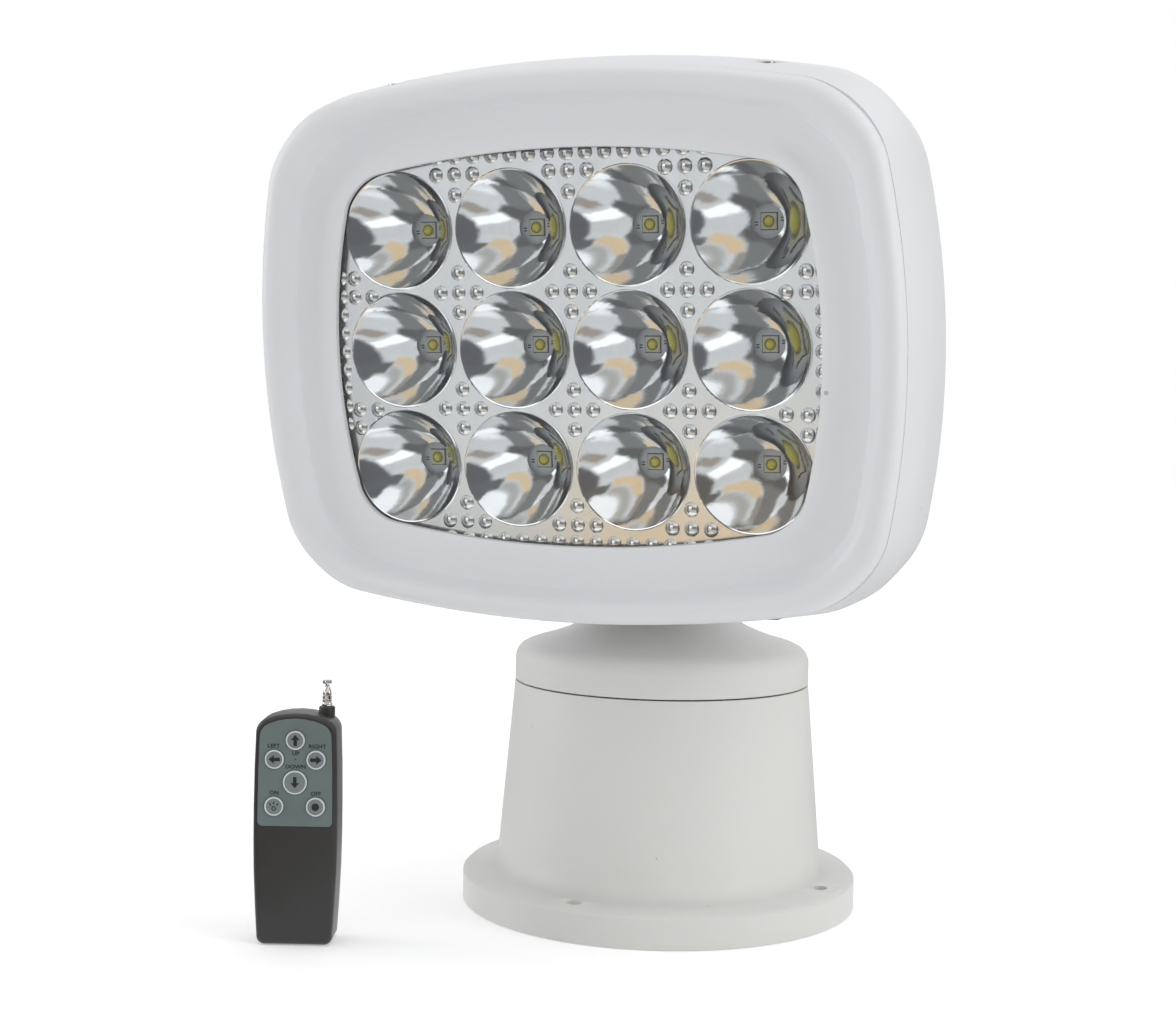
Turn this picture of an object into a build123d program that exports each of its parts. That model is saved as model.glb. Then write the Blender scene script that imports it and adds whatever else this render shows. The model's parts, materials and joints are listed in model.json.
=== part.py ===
"""Remote control spotlight: flanged base, turning turret, tilting lamp head and a small radio handset.

Units are millimetres. The origin is the centre of the base's underside, +Z is up and the lamp faces -Y.
"""
from build123d import *
from math import acos, cos, pi, radians, sin, tan
import os

# Base: flange and tapered tub
FLANGE_RADIUS = 62.0
FLANGE_THICKNESS = 9.8
FLANGE_EDGE = 1.2
TUB_FOOT_RADIUS = 51.4
TUB_TOP_RADIUS = 46.4
TUB_HEIGHT = 69.0
TUB_WALL = 3.0
BOLT_CIRCLE_RADIUS = 55.0
BOLT_HOLE_RADIUS = 2.4
BOLT_COUNT = 4
BOLT_START_ANGLE = -8.0
DECK_THICKNESS = 4.0
DECK_DROP = 2.5
BOTTOM_RECESS_RADIUS = 50.0
BOTTOM_RECESS_DEPTH = 3.0
BOTTOM_PLATE_THICKNESS = 2.5
BOTTOM_BOSS_CIRCLE = 44.5
BOTTOM_BOSS_RADIUS = 4.5
BOTTOM_BOSS_LENGTH = 20.0
CABLE_ENTRY_OFFSET = 24.0
CABLE_BORE_RADIUS = 3.25

# Pan bearing and drive
HUB_RADIUS = 12.0
HUB_BORE_RADIUS = 8.0
HUB_FLANGE_RADIUS = 22.0
HUB_FLANGE_THICKNESS = 3.0
BUSH_WALL = 1.5
BUSH_FLANGE_RADIUS = 16.5
BUSH_FLANGE_THICKNESS = 2.0
BUSH_BOSS_LENGTH = 10.5
WASHER_THICKNESS = 1.7
PAN_GEAR_WIDTH = 6.0
NUT_HEIGHT = 4.0
NUT_RADIUS = 17.0
PAN_GEAR_RATIO = 3
GEAR_MODULE = 1.0

# Turret cap and neck
SEAM_GAP = 0.4
CAP_WALL = 2.5
CAP_SKIRT_HEIGHT = 7.6
CAP_SHOULDER_RADIUS = 42.0
CAP_SHOULDER_HEIGHT = 12.1
CAP_NECK_RADIUS = 20.4
CAP_HEIGHT = 21.6
NECK_FOOT_RADIUS = 20.0
NECK_WIDTH = 31.0
NECK_DEPTH = 26.0
NECK_CORNER = 6.0

# Tilt joint
NECK_RISE = 42.0
REST_TILT = 7.5
TILT_DOWN = 20.0
TILT_UP = 60.0
DRUM_RADIUS = 34.3
DRUM_WIDTH = 32.0
DRUM_WALL = 3.0
DRUM_CLEARANCE = 0.4
KNUCKLE_WALL = 3.0
KNUCKLE_CHEEK = 4.4
AXLE_RADIUS = 6.0
AXLE_BORE_RADIUS = 3.8
TILT_GEAR_TEETH = 44
TILT_PINION_TEETH = 14
TILT_GEAR_WIDTH = 5.0
COLUMN_CLEARANCE = 1.2

# Lamp head, measured from the reflector's face: across, up and forwards
FACE_AHEAD = 78.2
FACE_ABOVE = 47.1
LIP_HALF_WIDTH = 92.4
LIP_HALF_HEIGHT = 74.9
LIP_FRONT = 9.6
SHELL_FRONT = 5.0
SIDE_BOW = 9.1
TOP_BOW = 9.7
LIP_CORNER = 29.0
SHELL_WALL = 2.6
WINDOW_HALF_WIDTH = 70.0
WINDOW_HALF_HEIGHT = 53.9
LENS_THICKNESS = 1.4
LENS_BACK = 1.0
LENS_MARGIN = 5.2
WINDOW_CORNER = 20.0
BEZEL_SHELF = 3.4
BEZEL_SKIRT = 14.0
BEZEL_SCREW_ACROSS = 53.0
BEZEL_SCREW_DEPTH = -8.0

# Reflector and light engine
LED_COLUMNS = 4
LED_ROWS = 3
LED_PITCH_ACROSS = 33.7
LED_PITCH_UP = 33.0
CUP_RADIUS = 15.6
CUP_DEPTH = 17.6
CUP_HOLE_RADIUS = 4.6
CUP_WALL = 0.8
CUP_STEPS = 2
PANEL_THICKNESS = 2.5
STAR_RADIUS = 10.0
STAR_THICKNESS = 1.6
STAR_FRONT = 19.6
LED_SIDE = 4.0
LED_HEIGHT = 0.9
LED_DOME_RADIUS = 1.35
SINK_INSET = 5.5
SINK_THICKNESS = 4.0
FIN_COUNT = 17
FIN_PITCH = 8.6
FIN_THICKNESS = 2.0
FIN_DEPTH = 13.3

# Gearmotors
GEARBOX_RADIUS = 12.0
GEARBOX_LENGTH = 14.0
GEARBOX_CLEARANCE = 1.4
MOTOR_RADIUS = 10.5
MOTOR_LENGTH = 18.0
BRACKET_THICKNESS = 2.0
PINION_SHAFT_RADIUS = 2.5

# Handset
HANDSET_HEIGHT = 65.0
HANDSET_TOP_WIDTH = 22.8
HANDSET_FOOT_WIDTH = 21.4
HANDSET_SIDE_BOW = 0.9
HANDSET_SHOULDER = 63.0
HANDSET_DEPTH = 12.5
HANDSET_WALL = 1.3
HANDSET_PLACE = (-79.0, -90.6)
HANDSET_TURN = 20.0
KEY_RADIUS = 2.8
DOWN_KEY_RADIUS = 3.5
KEY_TRAVEL = 0.4
KEY_SIDE_OFFSET = 5.9
AERIAL_ACROSS = 7.5
AERIAL_BACK = 2.4
AERIAL_FOOT = 37.0
AERIAL_COLLAR_BOTTOM = 64.0
AERIAL_COLLAR_TOP = 67.3
AERIAL_TOP = 75.0

# Clearances
FIT = 0.02
RUNNING = 0.05
LOOSE = 0.2
SEAT = 0.3
SCREW_RADIUS = 1.5

LOW = (Align.CENTER, Align.CENTER, Align.MIN)
HIGH = (Align.CENTER, Align.CENTER, Align.MAX)

os.makedirs("parts", exist_ok=True)


def save(part, label):
    """Label a finished piece and write it as its own STEP file."""
    part.label = label
    export_step(part, f"parts/{label}.step")


def polar(radius, angle):
    """Point at a radius and an angle in radians."""
    return (radius * cos(angle), radius * sin(angle))


def ring_places(radius, count, start):
    """Points evenly round a circle, from a start angle in degrees."""
    return [polar(radius, radians(start + 360 * k / count)) for k in range(count)]


def facing_down(height):
    """Plane that looks down at a height; places on it are given with y turned over."""
    return Plane((0, 0, height), x_dir=(1, 0, 0), z_dir=(0, 0, -1))


def turned_over(places):
    """The same places written for a plane that looks down."""
    return [(x, -y) for x, y in places]


def screw_group(plane, places, head_radius, head_height, shank_radius, shank_length):
    """Pan-head screws whose heads stand on the plane and whose shanks run behind it."""
    with BuildPart(plane) as screws:
        with Locations(*places):
            Cylinder(head_radius, head_height, align=LOW)
            Cylinder(shank_radius, shank_length, align=HIGH)
    return screws.part


# Involute gears

PRESSURE_ANGLE = radians(20)
ADDENDUM = 0.9
DEDENDUM = 1.2
BACKLASH = 0.2


def gear_outline(teeth, module, first_tooth):
    """Face of a spur gear with one tooth centred on the first_tooth angle, in degrees."""
    pitch = teeth * module / 2
    base = pitch * cos(PRESSURE_ANGLE)
    tip = pitch + ADDENDUM * module
    root = pitch - DEDENDUM * module
    start = max(base, root)
    middle = (start + tip) / 2
    thickness = pi / (2 * teeth) - BACKLASH / (4 * pitch)

    def involute(radius):
        angle = acos(min(1.0, base / radius))
        return tan(angle) - angle

    def half(radius):
        return thickness + tan(PRESSURE_ANGLE) - PRESSURE_ANGLE - involute(radius)

    edges = []
    for k in range(teeth):
        centre = radians(first_tooth) + 2 * pi * k / teeth
        following = centre + 2 * pi / teeth
        for side in (-1, 1):
            flank = [polar(r, centre + side * half(r)) for r in (start, middle, tip)]
            edges.append(Edge.make_three_point_arc(*flank))
            if root < start:
                edges.append(Edge.make_line(polar(root, centre + side * half(start)), flank[0]))
        crest = [polar(tip, centre + side * half(tip)) for side in (-1, 0, 1)]
        crest[1] = polar(tip, centre)
        edges.append(Edge.make_three_point_arc(*crest))
        valley_start = polar(root, centre + half(start))
        valley_end = polar(root, following - half(start))
        edges.append(Edge.make_three_point_arc(valley_start, polar(root, (centre + following) / 2), valley_end))
    return Face(Wire.combine(edges)[0])


# Gear centres: the pan pair takes the teeth that fit beside the tub's wall
pan_centre_room = TUB_TOP_RADIUS - TUB_WALL - GEARBOX_CLEARANCE - GEARBOX_RADIUS
pan_pinion_teeth = round(2 * pan_centre_room / (1 + PAN_GEAR_RATIO) / GEAR_MODULE)
pan_gear_teeth = PAN_GEAR_RATIO * pan_pinion_teeth
pan_centres = (pan_gear_teeth + pan_pinion_teeth) * GEAR_MODULE / 2
tilt_centres = (TILT_GEAR_TEETH + TILT_PINION_TEETH) * GEAR_MODULE / 2

# Base housing

deck_top = TUB_HEIGHT - DECK_DROP
deck_bottom = deck_top - DECK_THICKNESS
bush_boss_bottom = deck_top - BUSH_BOSS_LENGTH
bush_radius = HUB_RADIUS + RUNNING + BUSH_WALL
tub_slope = (TUB_FOOT_RADIUS - TUB_TOP_RADIUS) / (TUB_HEIGHT - FLANGE_THICKNESS)


def tub_radius(height):
    """Outer radius of the tapered tub at a height."""
    return TUB_FOOT_RADIUS - tub_slope * (height - FLANGE_THICKNESS)


washer_top = bush_boss_bottom - SEAT
pan_gear_top = washer_top - WASHER_THICKNESS
pan_gear_bottom = pan_gear_top - PAN_GEAR_WIDTH
nut_bottom = pan_gear_bottom - NUT_HEIGHT
bracket_top = pan_gear_bottom - 0.8
bracket_post_places = [(20.0, 33.0), (-20.0, 33.0), (27.0, 16.0), (-27.0, 16.0)]
bottom_screw_places = ring_places(BOTTOM_BOSS_CIRCLE, 4, BOLT_START_ANGLE + 45)

with BuildPart() as base_housing:
    with BuildSketch(Plane.XZ):
        with BuildLine():
            Polyline(
                (0, 0),
                (FLANGE_RADIUS, 0),
                (FLANGE_RADIUS, FLANGE_THICKNESS),
                (TUB_FOOT_RADIUS, FLANGE_THICKNESS),
                (TUB_TOP_RADIUS, TUB_HEIGHT),
                (0, TUB_HEIGHT),
                close=True,
            )
        make_face()
    revolve(axis=Axis.Z)
    flange_top = base_housing.edges().filter_by(GeomType.CIRCLE).sort_by(SortBy.RADIUS)[-2:]
    chamfer(flange_top.sort_by(Axis.Z)[-1], FLANGE_EDGE)
    with BuildSketch(Plane.XZ):
        with BuildLine():
            inner_foot = TUB_FOOT_RADIUS - TUB_WALL
            Polyline(
                (0, 0),
                (BOTTOM_RECESS_RADIUS, 0),
                (BOTTOM_RECESS_RADIUS, BOTTOM_RECESS_DEPTH),
                (inner_foot, BOTTOM_RECESS_DEPTH),
                (inner_foot, FLANGE_THICKNESS),
                (tub_radius(deck_bottom) - TUB_WALL, deck_bottom),
                (0, deck_bottom),
                close=True,
            )
        make_face()
    revolve(axis=Axis.Z, mode=Mode.SUBTRACT)
    with BuildSketch(Plane.XY.offset(deck_top)):
        Circle(TUB_TOP_RADIUS - TUB_WALL)
    extrude(amount=DECK_DROP, mode=Mode.SUBTRACT)
    with BuildSketch(Plane.XY.offset(bush_boss_bottom)):
        Circle(bush_radius + 3.5)
    extrude(amount=BUSH_BOSS_LENGTH - DECK_THICKNESS / 2)
    with BuildSketch(Plane.XY.offset(bracket_top)):
        with Locations(*bracket_post_places):
            Circle(3.5)
    extrude(amount=deck_bottom - bracket_top + 0.5)
    with BuildSketch(Plane.XY.offset(BOTTOM_RECESS_DEPTH)):
        with Locations(*bottom_screw_places):
            Circle(BOTTOM_BOSS_RADIUS)
        Circle(TUB_FOOT_RADIUS - TUB_WALL / 2, mode=Mode.INTERSECT)
    extrude(amount=BOTTOM_BOSS_LENGTH)
    with BuildSketch(Plane.XY.offset(bush_boss_bottom)):
        Circle(bush_radius + FIT)
    extrude(amount=BUSH_BOSS_LENGTH, mode=Mode.SUBTRACT)
    with BuildSketch(Plane.XY):
        with Locations(*ring_places(BOLT_CIRCLE_RADIUS, BOLT_COUNT, BOLT_START_ANGLE)):
            Circle(BOLT_HOLE_RADIUS)
    extrude(amount=FLANGE_THICKNESS, mode=Mode.SUBTRACT)
    with BuildSketch(Plane.XY.offset(BOTTOM_RECESS_DEPTH)):
        with Locations(*bottom_screw_places):
            Circle(SCREW_RADIUS + RUNNING)
    extrude(amount=12, mode=Mode.SUBTRACT)
    with BuildSketch(Plane.XY.offset(bracket_top)):
        with Locations(*bracket_post_places):
            Circle(SCREW_RADIUS + RUNNING)
    extrude(amount=9, mode=Mode.SUBTRACT)
save(base_housing.part, "base_housing")

# Bottom plate with its seal, screws and cable grommet

plate_bottom = BOTTOM_RECESS_DEPTH - BOTTOM_PLATE_THICKNESS
seal_width = 1.2
seal_depth = 0.8
seal_outer = BOTTOM_RECESS_RADIUS - 0.6
cable_place = (0.0, -CABLE_ENTRY_OFFSET)
grommet_neck = CABLE_BORE_RADIUS + 2.0
board_standoffs = ring_places(34.0, 4, 45)
board_bottom = BOTTOM_RECESS_DEPTH + 3.5

with BuildPart() as bottom_plate:
    with BuildSketch(Plane.XY.offset(plate_bottom)):
        Circle(BOTTOM_RECESS_RADIUS - LOOSE)
        with Locations(*bottom_screw_places):
            Circle(SCREW_RADIUS + LOOSE, mode=Mode.SUBTRACT)
        with Locations(cable_place):
            Circle(grommet_neck + FIT, mode=Mode.SUBTRACT)
    extrude(amount=BOTTOM_PLATE_THICKNESS)
    with BuildSketch(Plane.XY.offset(BOTTOM_RECESS_DEPTH)):
        with Locations(*board_standoffs):
            Circle(3.0)
    extrude(amount=board_bottom - BOTTOM_RECESS_DEPTH)
    with BuildSketch(Plane.XY.offset(BOTTOM_RECESS_DEPTH)):
        Circle(seal_outer + FIT)
        Circle(seal_outer - seal_width - FIT, mode=Mode.SUBTRACT)
    extrude(amount=-seal_depth, mode=Mode.SUBTRACT)
    with BuildSketch(Plane.XY.offset(plate_bottom)):
        with Locations(*bottom_screw_places):
            Circle(3.2)
    extrude(amount=1.2, mode=Mode.SUBTRACT)
save(bottom_plate.part, "bottom_plate")

with BuildPart() as bottom_seal:
    with BuildSketch(Plane.XY.offset(BOTTOM_RECESS_DEPTH - seal_depth)):
        Circle(seal_outer)
        Circle(seal_outer - seal_width, mode=Mode.SUBTRACT)
    extrude(amount=seal_depth)
save(bottom_seal.part, "bottom_seal")

plate_screw_places = turned_over(bottom_screw_places)
plate_screws = screw_group(facing_down(plate_bottom + 1.2), plate_screw_places, 2.9, 1.1, SCREW_RADIUS, 10)

with BuildPart() as cable_grommet:
    with BuildSketch(Plane.XZ.offset(CABLE_ENTRY_OFFSET)):
        with BuildLine():
            Polyline(
                (CABLE_BORE_RADIUS, plate_bottom - 0.3),
                (grommet_neck + 1.2, plate_bottom - 0.3),
                (grommet_neck + 1.2, plate_bottom),
                (grommet_neck, plate_bottom),
                (grommet_neck, BOTTOM_RECESS_DEPTH),
                (grommet_neck + 2.0, BOTTOM_RECESS_DEPTH),
                (grommet_neck + 2.0, BOTTOM_RECESS_DEPTH + 1.5),
                (grommet_neck - 0.5, BOTTOM_RECESS_DEPTH + 6.0),
                (CABLE_BORE_RADIUS, BOTTOM_RECESS_DEPTH + 6.0),
                close=True,
            )
        make_face()
    revolve(axis=Axis((0, -CABLE_ENTRY_OFFSET, 0), (0, 0, 1)))
save(cable_grommet.part, "cable_grommet")

# Electronics on the bottom plate

board_thickness = 1.6
board_top = board_bottom + board_thickness

with BuildPart() as control_board:
    with BuildSketch(Plane.XY.offset(board_bottom)):
        Circle(BOTTOM_BOSS_CIRCLE - BOTTOM_BOSS_RADIUS - 1.0)
        with Locations(cable_place):
            Circle(grommet_neck + 3.0, mode=Mode.SUBTRACT)
    extrude(amount=board_thickness)
save(control_board.part, "control_board")

with BuildPart() as board_parts:
    with Locations((-24, 0, board_top), (-24, -14, board_top), (24, 0, board_top), (24, -14, board_top)):
        Box(18, 12, 14, align=LOW)
    with Locations((0, -6, board_top), (10, 8, board_top), (-10, 8, board_top)):
        Cylinder(4.5, 16, align=LOW)
    with Locations((15, 17, board_top), (-15, 17, board_top)):
        Box(16, 8, 9, align=LOW)
save(board_parts.part, "board_parts")

with BuildPart() as receiver_module:
    with BuildSketch(Plane.XZ.offset(30.0)):
        with Locations((-22, board_top)):
            Rectangle(20, 14, align=(Align.CENTER, Align.MIN))
    extrude(amount=1.0)
    with Locations((-26, -32.5, board_top + 7)):
        Box(6, 3, 6)
    with Locations((-17, -32.2, board_top + 7)):
        Cylinder(1.2, 9)
save(receiver_module.part, "receiver_module")

# Pan bearing bush and the gearmotor on its bracket

with BuildPart() as pan_bush:
    with BuildSketch(Plane.XZ):
        with BuildLine():
            Polyline(
                (HUB_RADIUS + RUNNING, bush_boss_bottom),
                (bush_radius, bush_boss_bottom),
                (bush_radius, deck_top),
                (BUSH_FLANGE_RADIUS, deck_top),
                (BUSH_FLANGE_RADIUS, deck_top + BUSH_FLANGE_THICKNESS),
                (HUB_RADIUS + RUNNING, deck_top + BUSH_FLANGE_THICKNESS),
                close=True,
            )
        make_face()
    revolve(axis=Axis.Z)
save(pan_bush.part, "pan_bush")

pan_motor_place = (0.0, pan_centres)

with BuildPart() as pan_motor_bracket:
    with BuildSketch(Plane.XY.offset(bracket_top - BRACKET_THICKNESS)):
        with Locations(*bracket_post_places):
            Circle(5.0)
        with Locations(pan_motor_place):
            Circle(GEARBOX_RADIUS)
        make_hull()
        Circle(NUT_RADIUS + 3.0, mode=Mode.SUBTRACT)
        with Locations(pan_motor_place):
            Circle(PINION_SHAFT_RADIUS + 1.0, mode=Mode.SUBTRACT)
        with Locations(*bracket_post_places):
            Circle(SCREW_RADIUS + LOOSE, mode=Mode.SUBTRACT)
    extrude(amount=BRACKET_THICKNESS)
save(pan_motor_bracket.part, "pan_motor_bracket")

pan_bracket_seat = facing_down(bracket_top - BRACKET_THICKNESS)
pan_bracket_screws = screw_group(pan_bracket_seat, turned_over(bracket_post_places), 2.8, 1.2, SCREW_RADIUS, 9)
save(Compound(children=plate_screws.solids() + pan_bracket_screws.solids()), "base_screws")


def gearbox(plane, shaft_depth):
    """Round gearbox behind a plane, bored for its output shaft, with a stepped rear cover."""
    with BuildPart(plane) as box:
        Cylinder(GEARBOX_RADIUS, GEARBOX_LENGTH - 2, align=HIGH)
        with Locations((0, 0, -GEARBOX_LENGTH + 2)):
            Cylinder(GEARBOX_RADIUS - 1, 2, align=HIGH)
        Cylinder(PINION_SHAFT_RADIUS + RUNNING, shaft_depth, align=HIGH, mode=Mode.SUBTRACT)
    return box.part


def motor_can(plane):
    """Small motor can behind a gearbox, with its rear bearing boss and two terminals."""
    with BuildPart(plane) as can:
        Cylinder(MOTOR_RADIUS, MOTOR_LENGTH, align=HIGH)
        chamfer(can.edges().filter_by(GeomType.CIRCLE), 0.8)
        with Locations((0, 0, -MOTOR_LENGTH)):
            Cylinder(3.0, 1.5, align=HIGH)
        with Locations((6, 0, -MOTOR_LENGTH), (-6, 0, -MOTOR_LENGTH)):
            Box(1, 3, 1.5, align=HIGH)
    return can.part


pan_drive_plane = Plane((0, pan_centres, bracket_top - BRACKET_THICKNESS), x_dir=(1, 0, 0), z_dir=(0, 0, 1))
save(gearbox(pan_drive_plane, 8.0), "pan_gearbox")
save(motor_can(pan_drive_plane.offset(-GEARBOX_LENGTH)), "pan_motor")


def pinion(plane, teeth, first_tooth, width, shaft_front, shaft_back):
    """Pinion cut in one with its output shaft: the teeth stand on the plane, the shaft runs both ways."""
    with BuildPart(plane) as wheel:
        with BuildSketch(plane):
            add(gear_outline(teeth, GEAR_MODULE, first_tooth))
        extrude(amount=width)
        Cylinder(PINION_SHAFT_RADIUS, shaft_back, align=HIGH)
        Cylinder(PINION_SHAFT_RADIUS, width + shaft_front, align=LOW)
    return wheel.part


pan_pinion_plane = Plane((0, pan_centres, pan_gear_bottom), x_dir=(1, 0, 0), z_dir=(0, 0, 1))
pan_shaft_back = pan_gear_bottom - (bracket_top - BRACKET_THICKNESS) + 7.5
save(pinion(pan_pinion_plane, pan_pinion_teeth, 270 + 180 / pan_pinion_teeth, PAN_GEAR_WIDTH, 1.0, pan_shaft_back),
     "pan_pinion")

# Turret: hub, gear, nut and washer

hub_flange_bottom = deck_top + BUSH_FLANGE_THICKNESS + SEAT
hub_flange_top = hub_flange_bottom + HUB_FLANGE_THICKNESS
hub_screw_places = ring_places(17.0, 4, 45)

with BuildPart() as pan_hub:
    with BuildSketch(Plane.XY.offset(nut_bottom)):
        Circle(HUB_RADIUS)
    extrude(amount=hub_flange_bottom - nut_bottom)
    with BuildSketch(Plane.XY.offset(hub_flange_bottom)):
        Circle(HUB_FLANGE_RADIUS)
    extrude(amount=HUB_FLANGE_THICKNESS)
    Cylinder(HUB_BORE_RADIUS, 200, mode=Mode.SUBTRACT)
    with BuildSketch(Plane.XY.offset(hub_flange_bottom)):
        with Locations(*hub_screw_places):
            Circle(SCREW_RADIUS + LOOSE)
    extrude(amount=HUB_FLANGE_THICKNESS, mode=Mode.SUBTRACT)
    with BuildSketch(Plane.XY.offset(hub_flange_bottom)):
        with Locations(*hub_screw_places):
            Circle(3.0)
    extrude(amount=1.4, mode=Mode.SUBTRACT)
save(pan_hub.part, "pan_hub")

hub_screw_seat = facing_down(hub_flange_bottom + 1.4)
save(screw_group(hub_screw_seat, turned_over(hub_screw_places), 2.8, 1.2, SCREW_RADIUS, 11), "hub_screws")

with BuildPart() as pan_gear:
    with BuildSketch(Plane.XY.offset(pan_gear_bottom)):
        add(gear_outline(pan_gear_teeth, GEAR_MODULE, 90))
        Circle(HUB_RADIUS + FIT, mode=Mode.SUBTRACT)
    extrude(amount=PAN_GEAR_WIDTH)
save(pan_gear.part, "pan_gear")

with BuildPart() as pan_washer:
    with BuildSketch(Plane.XY.offset(pan_gear_top)):
        Circle(bush_radius + 3.0)
        Circle(HUB_RADIUS + FIT, mode=Mode.SUBTRACT)
    extrude(amount=WASHER_THICKNESS)
save(pan_washer.part, "pan_washer")

with BuildPart() as hub_nut:
    with BuildSketch(Plane.XY.offset(nut_bottom)):
        RegularPolygon(NUT_RADIUS, 6)
        Circle(HUB_RADIUS + FIT, mode=Mode.SUBTRACT)
    extrude(amount=NUT_HEIGHT)
save(hub_nut.part, "hub_nut")

# Turret cap: skirt, rounded shoulder and a hollow cone that sweeps up to the neck

cap_bottom = TUB_HEIGHT + SEAM_GAP
cap_floor_bottom = hub_flange_top
cap_floor_top = cap_floor_bottom + 3.0
cap_top = cap_bottom + CAP_HEIGHT
skirt_top = cap_bottom + CAP_SKIRT_HEIGHT
shoulder_top = cap_bottom + CAP_SHOULDER_HEIGHT
shoulder_mid = (CAP_SHOULDER_RADIUS + 3.3, shoulder_top - 2.1)
cone_mid = ((CAP_SHOULDER_RADIUS + CAP_NECK_RADIUS) / 2, (shoulder_top + cap_top) / 2 - 1.45)
sleeve_radius = CAP_NECK_RADIUS + CAP_WALL

with BuildPart() as turret_cap:
    with BuildSketch(Plane.XZ):
        with BuildLine():
            Polyline(
                (TUB_TOP_RADIUS, cap_bottom),
                (TUB_TOP_RADIUS, skirt_top),
                shoulder_mid,
                (CAP_SHOULDER_RADIUS, shoulder_top),
                cone_mid,
                (CAP_NECK_RADIUS, cap_top),
                (CAP_NECK_RADIUS, cap_floor_top),
                (HUB_RADIUS, cap_floor_top),
                (HUB_RADIUS, cap_floor_bottom),
                (sleeve_radius, cap_floor_bottom),
                (sleeve_radius, cap_top - 5.2),
                (cone_mid[0], cone_mid[1] - CAP_WALL * 1.1),
                (CAP_SHOULDER_RADIUS - 1.6, shoulder_top - CAP_WALL),
                (TUB_TOP_RADIUS - CAP_WALL, skirt_top - 1.0),
                (TUB_TOP_RADIUS - CAP_WALL, cap_bottom),
                close=True,
            )
        make_face()
    revolve(axis=Axis.Z)
    with BuildSketch(Plane.XY.offset(cap_floor_bottom)):
        with Locations(*hub_screw_places):
            Circle(SCREW_RADIUS + LOOSE)
    extrude(amount=cap_floor_top - cap_floor_bottom, mode=Mode.SUBTRACT)
save(turret_cap.part, "turret_cap")

with BuildPart() as seam_seal:
    with BuildSketch(Plane.XZ):
        with BuildLine():
            seal_top = cap_bottom + 3.0
            seal_radius = TUB_TOP_RADIUS - CAP_WALL - FIT
            Polyline(
                (seal_radius, seal_top),
                (seal_radius, cap_bottom + 0.2),
                (TUB_TOP_RADIUS - TUB_WALL - SEAT, cap_bottom + 0.2),
                (TUB_TOP_RADIUS - TUB_WALL - SEAT - 2.0, deck_top + SEAT),
                (TUB_TOP_RADIUS - TUB_WALL - SEAT - 3.0, deck_top + SEAT),
                (seal_radius - 2.0, seal_top),
                close=True,
            )
        make_face()
    revolve(axis=Axis.Z)
save(seam_seal.part, "seam_seal")

# Neck and drum: the still middle of the tilt joint

tilt_axis_height = cap_top + NECK_RISE
tilt_centre = Vector(0, 0, tilt_axis_height)
neck_square_height = tilt_axis_height - DRUM_RADIUS - DRUM_CLEARANCE - KNUCKLE_WALL - 1.0
wire_passage = (20.0, 15.0)
axle_hub_radius = AXLE_RADIUS + 3.0


def turret_side(across):
    """Upright plane facing +X at a distance across: its x runs to the rear and its y runs up."""
    return Plane((across, 0, tilt_axis_height), x_dir=(0, 1, 0), z_dir=(1, 0, 0))


with BuildPart() as neck_drum:
    with BuildSketch(Plane.XY.offset(cap_floor_top)):
        Circle(NECK_FOOT_RADIUS)
    extrude(amount=cap_top - cap_floor_top)
    with BuildSketch(Plane.XY.offset(cap_top)):
        Circle(NECK_FOOT_RADIUS)
    with BuildSketch(Plane.XY.offset(neck_square_height)):
        RectangleRounded(NECK_WIDTH, NECK_DEPTH, NECK_CORNER)
    loft()
    with BuildSketch(Plane.XY.offset(neck_square_height)):
        RectangleRounded(NECK_WIDTH, NECK_DEPTH, NECK_CORNER)
    extrude(amount=tilt_axis_height - neck_square_height)
    with BuildSketch(Plane(tilt_centre, x_dir=(1, 0, 0), z_dir=(0, -1, 0))) as drum_profile:
        Rectangle(DRUM_WIDTH, DRUM_RADIUS, align=(Align.CENTER, Align.MIN))
        chamfer(drum_profile.vertices().group_by(Axis.Z)[-1], 1.0)
    revolve(axis=Axis(tilt_centre, (1, 0, 0)))
    with BuildSketch(turret_side(-DRUM_WIDTH / 2 + DRUM_WALL)):
        Circle(DRUM_RADIUS - DRUM_WALL)
        Circle(axle_hub_radius, mode=Mode.SUBTRACT)
    extrude(amount=DRUM_WIDTH - 2 * DRUM_WALL, mode=Mode.SUBTRACT)
    with BuildSketch(turret_side(-DRUM_WIDTH / 2)):
        Circle(AXLE_RADIUS + FIT)
    extrude(amount=DRUM_WIDTH, mode=Mode.SUBTRACT)
    with BuildSketch(Plane.XY.offset(cap_floor_top)):
        RectangleRounded(*wire_passage, 3.0)
    extrude(amount=tilt_axis_height - DRUM_RADIUS + 6.0 - cap_floor_top, mode=Mode.SUBTRACT)
    with BuildSketch(Plane.XY.offset(cap_floor_top)):
        with Locations(*hub_screw_places):
            Circle(SCREW_RADIUS + RUNNING)
    extrude(amount=8.0, mode=Mode.SUBTRACT)
save(neck_drum.part, "neck_drum")

# Tilt axle, fixed gear and clips

cheek_inner = DRUM_WIDTH / 2 + DRUM_CLEARANCE
cheek_outer = cheek_inner + KNUCKLE_CHEEK
bush_flange = 1.5
tilt_gear_left = cheek_outer + bush_flange + 1.2
clip_thickness = 1.0
axle_left = -(cheek_outer + bush_flange + SEAT + clip_thickness + 2.0)
axle_right = tilt_gear_left + TILT_GEAR_WIDTH + SEAT + clip_thickness + 2.0
sector_half_span = (TILT_DOWN + TILT_UP) / 2 + 15.0

with BuildPart() as tilt_axle:
    with BuildSketch(turret_side(axle_left)):
        Circle(AXLE_RADIUS)
        Circle(AXLE_BORE_RADIUS, mode=Mode.SUBTRACT)
    extrude(amount=axle_right - axle_left)
    chamfer(tilt_axle.edges().filter_by(GeomType.CIRCLE).group_by(SortBy.RADIUS)[-1], 0.6)
save(tilt_axle.part, "tilt_axle")

pinion_angle = 90 + (TILT_UP - TILT_DOWN) / 2

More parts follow.
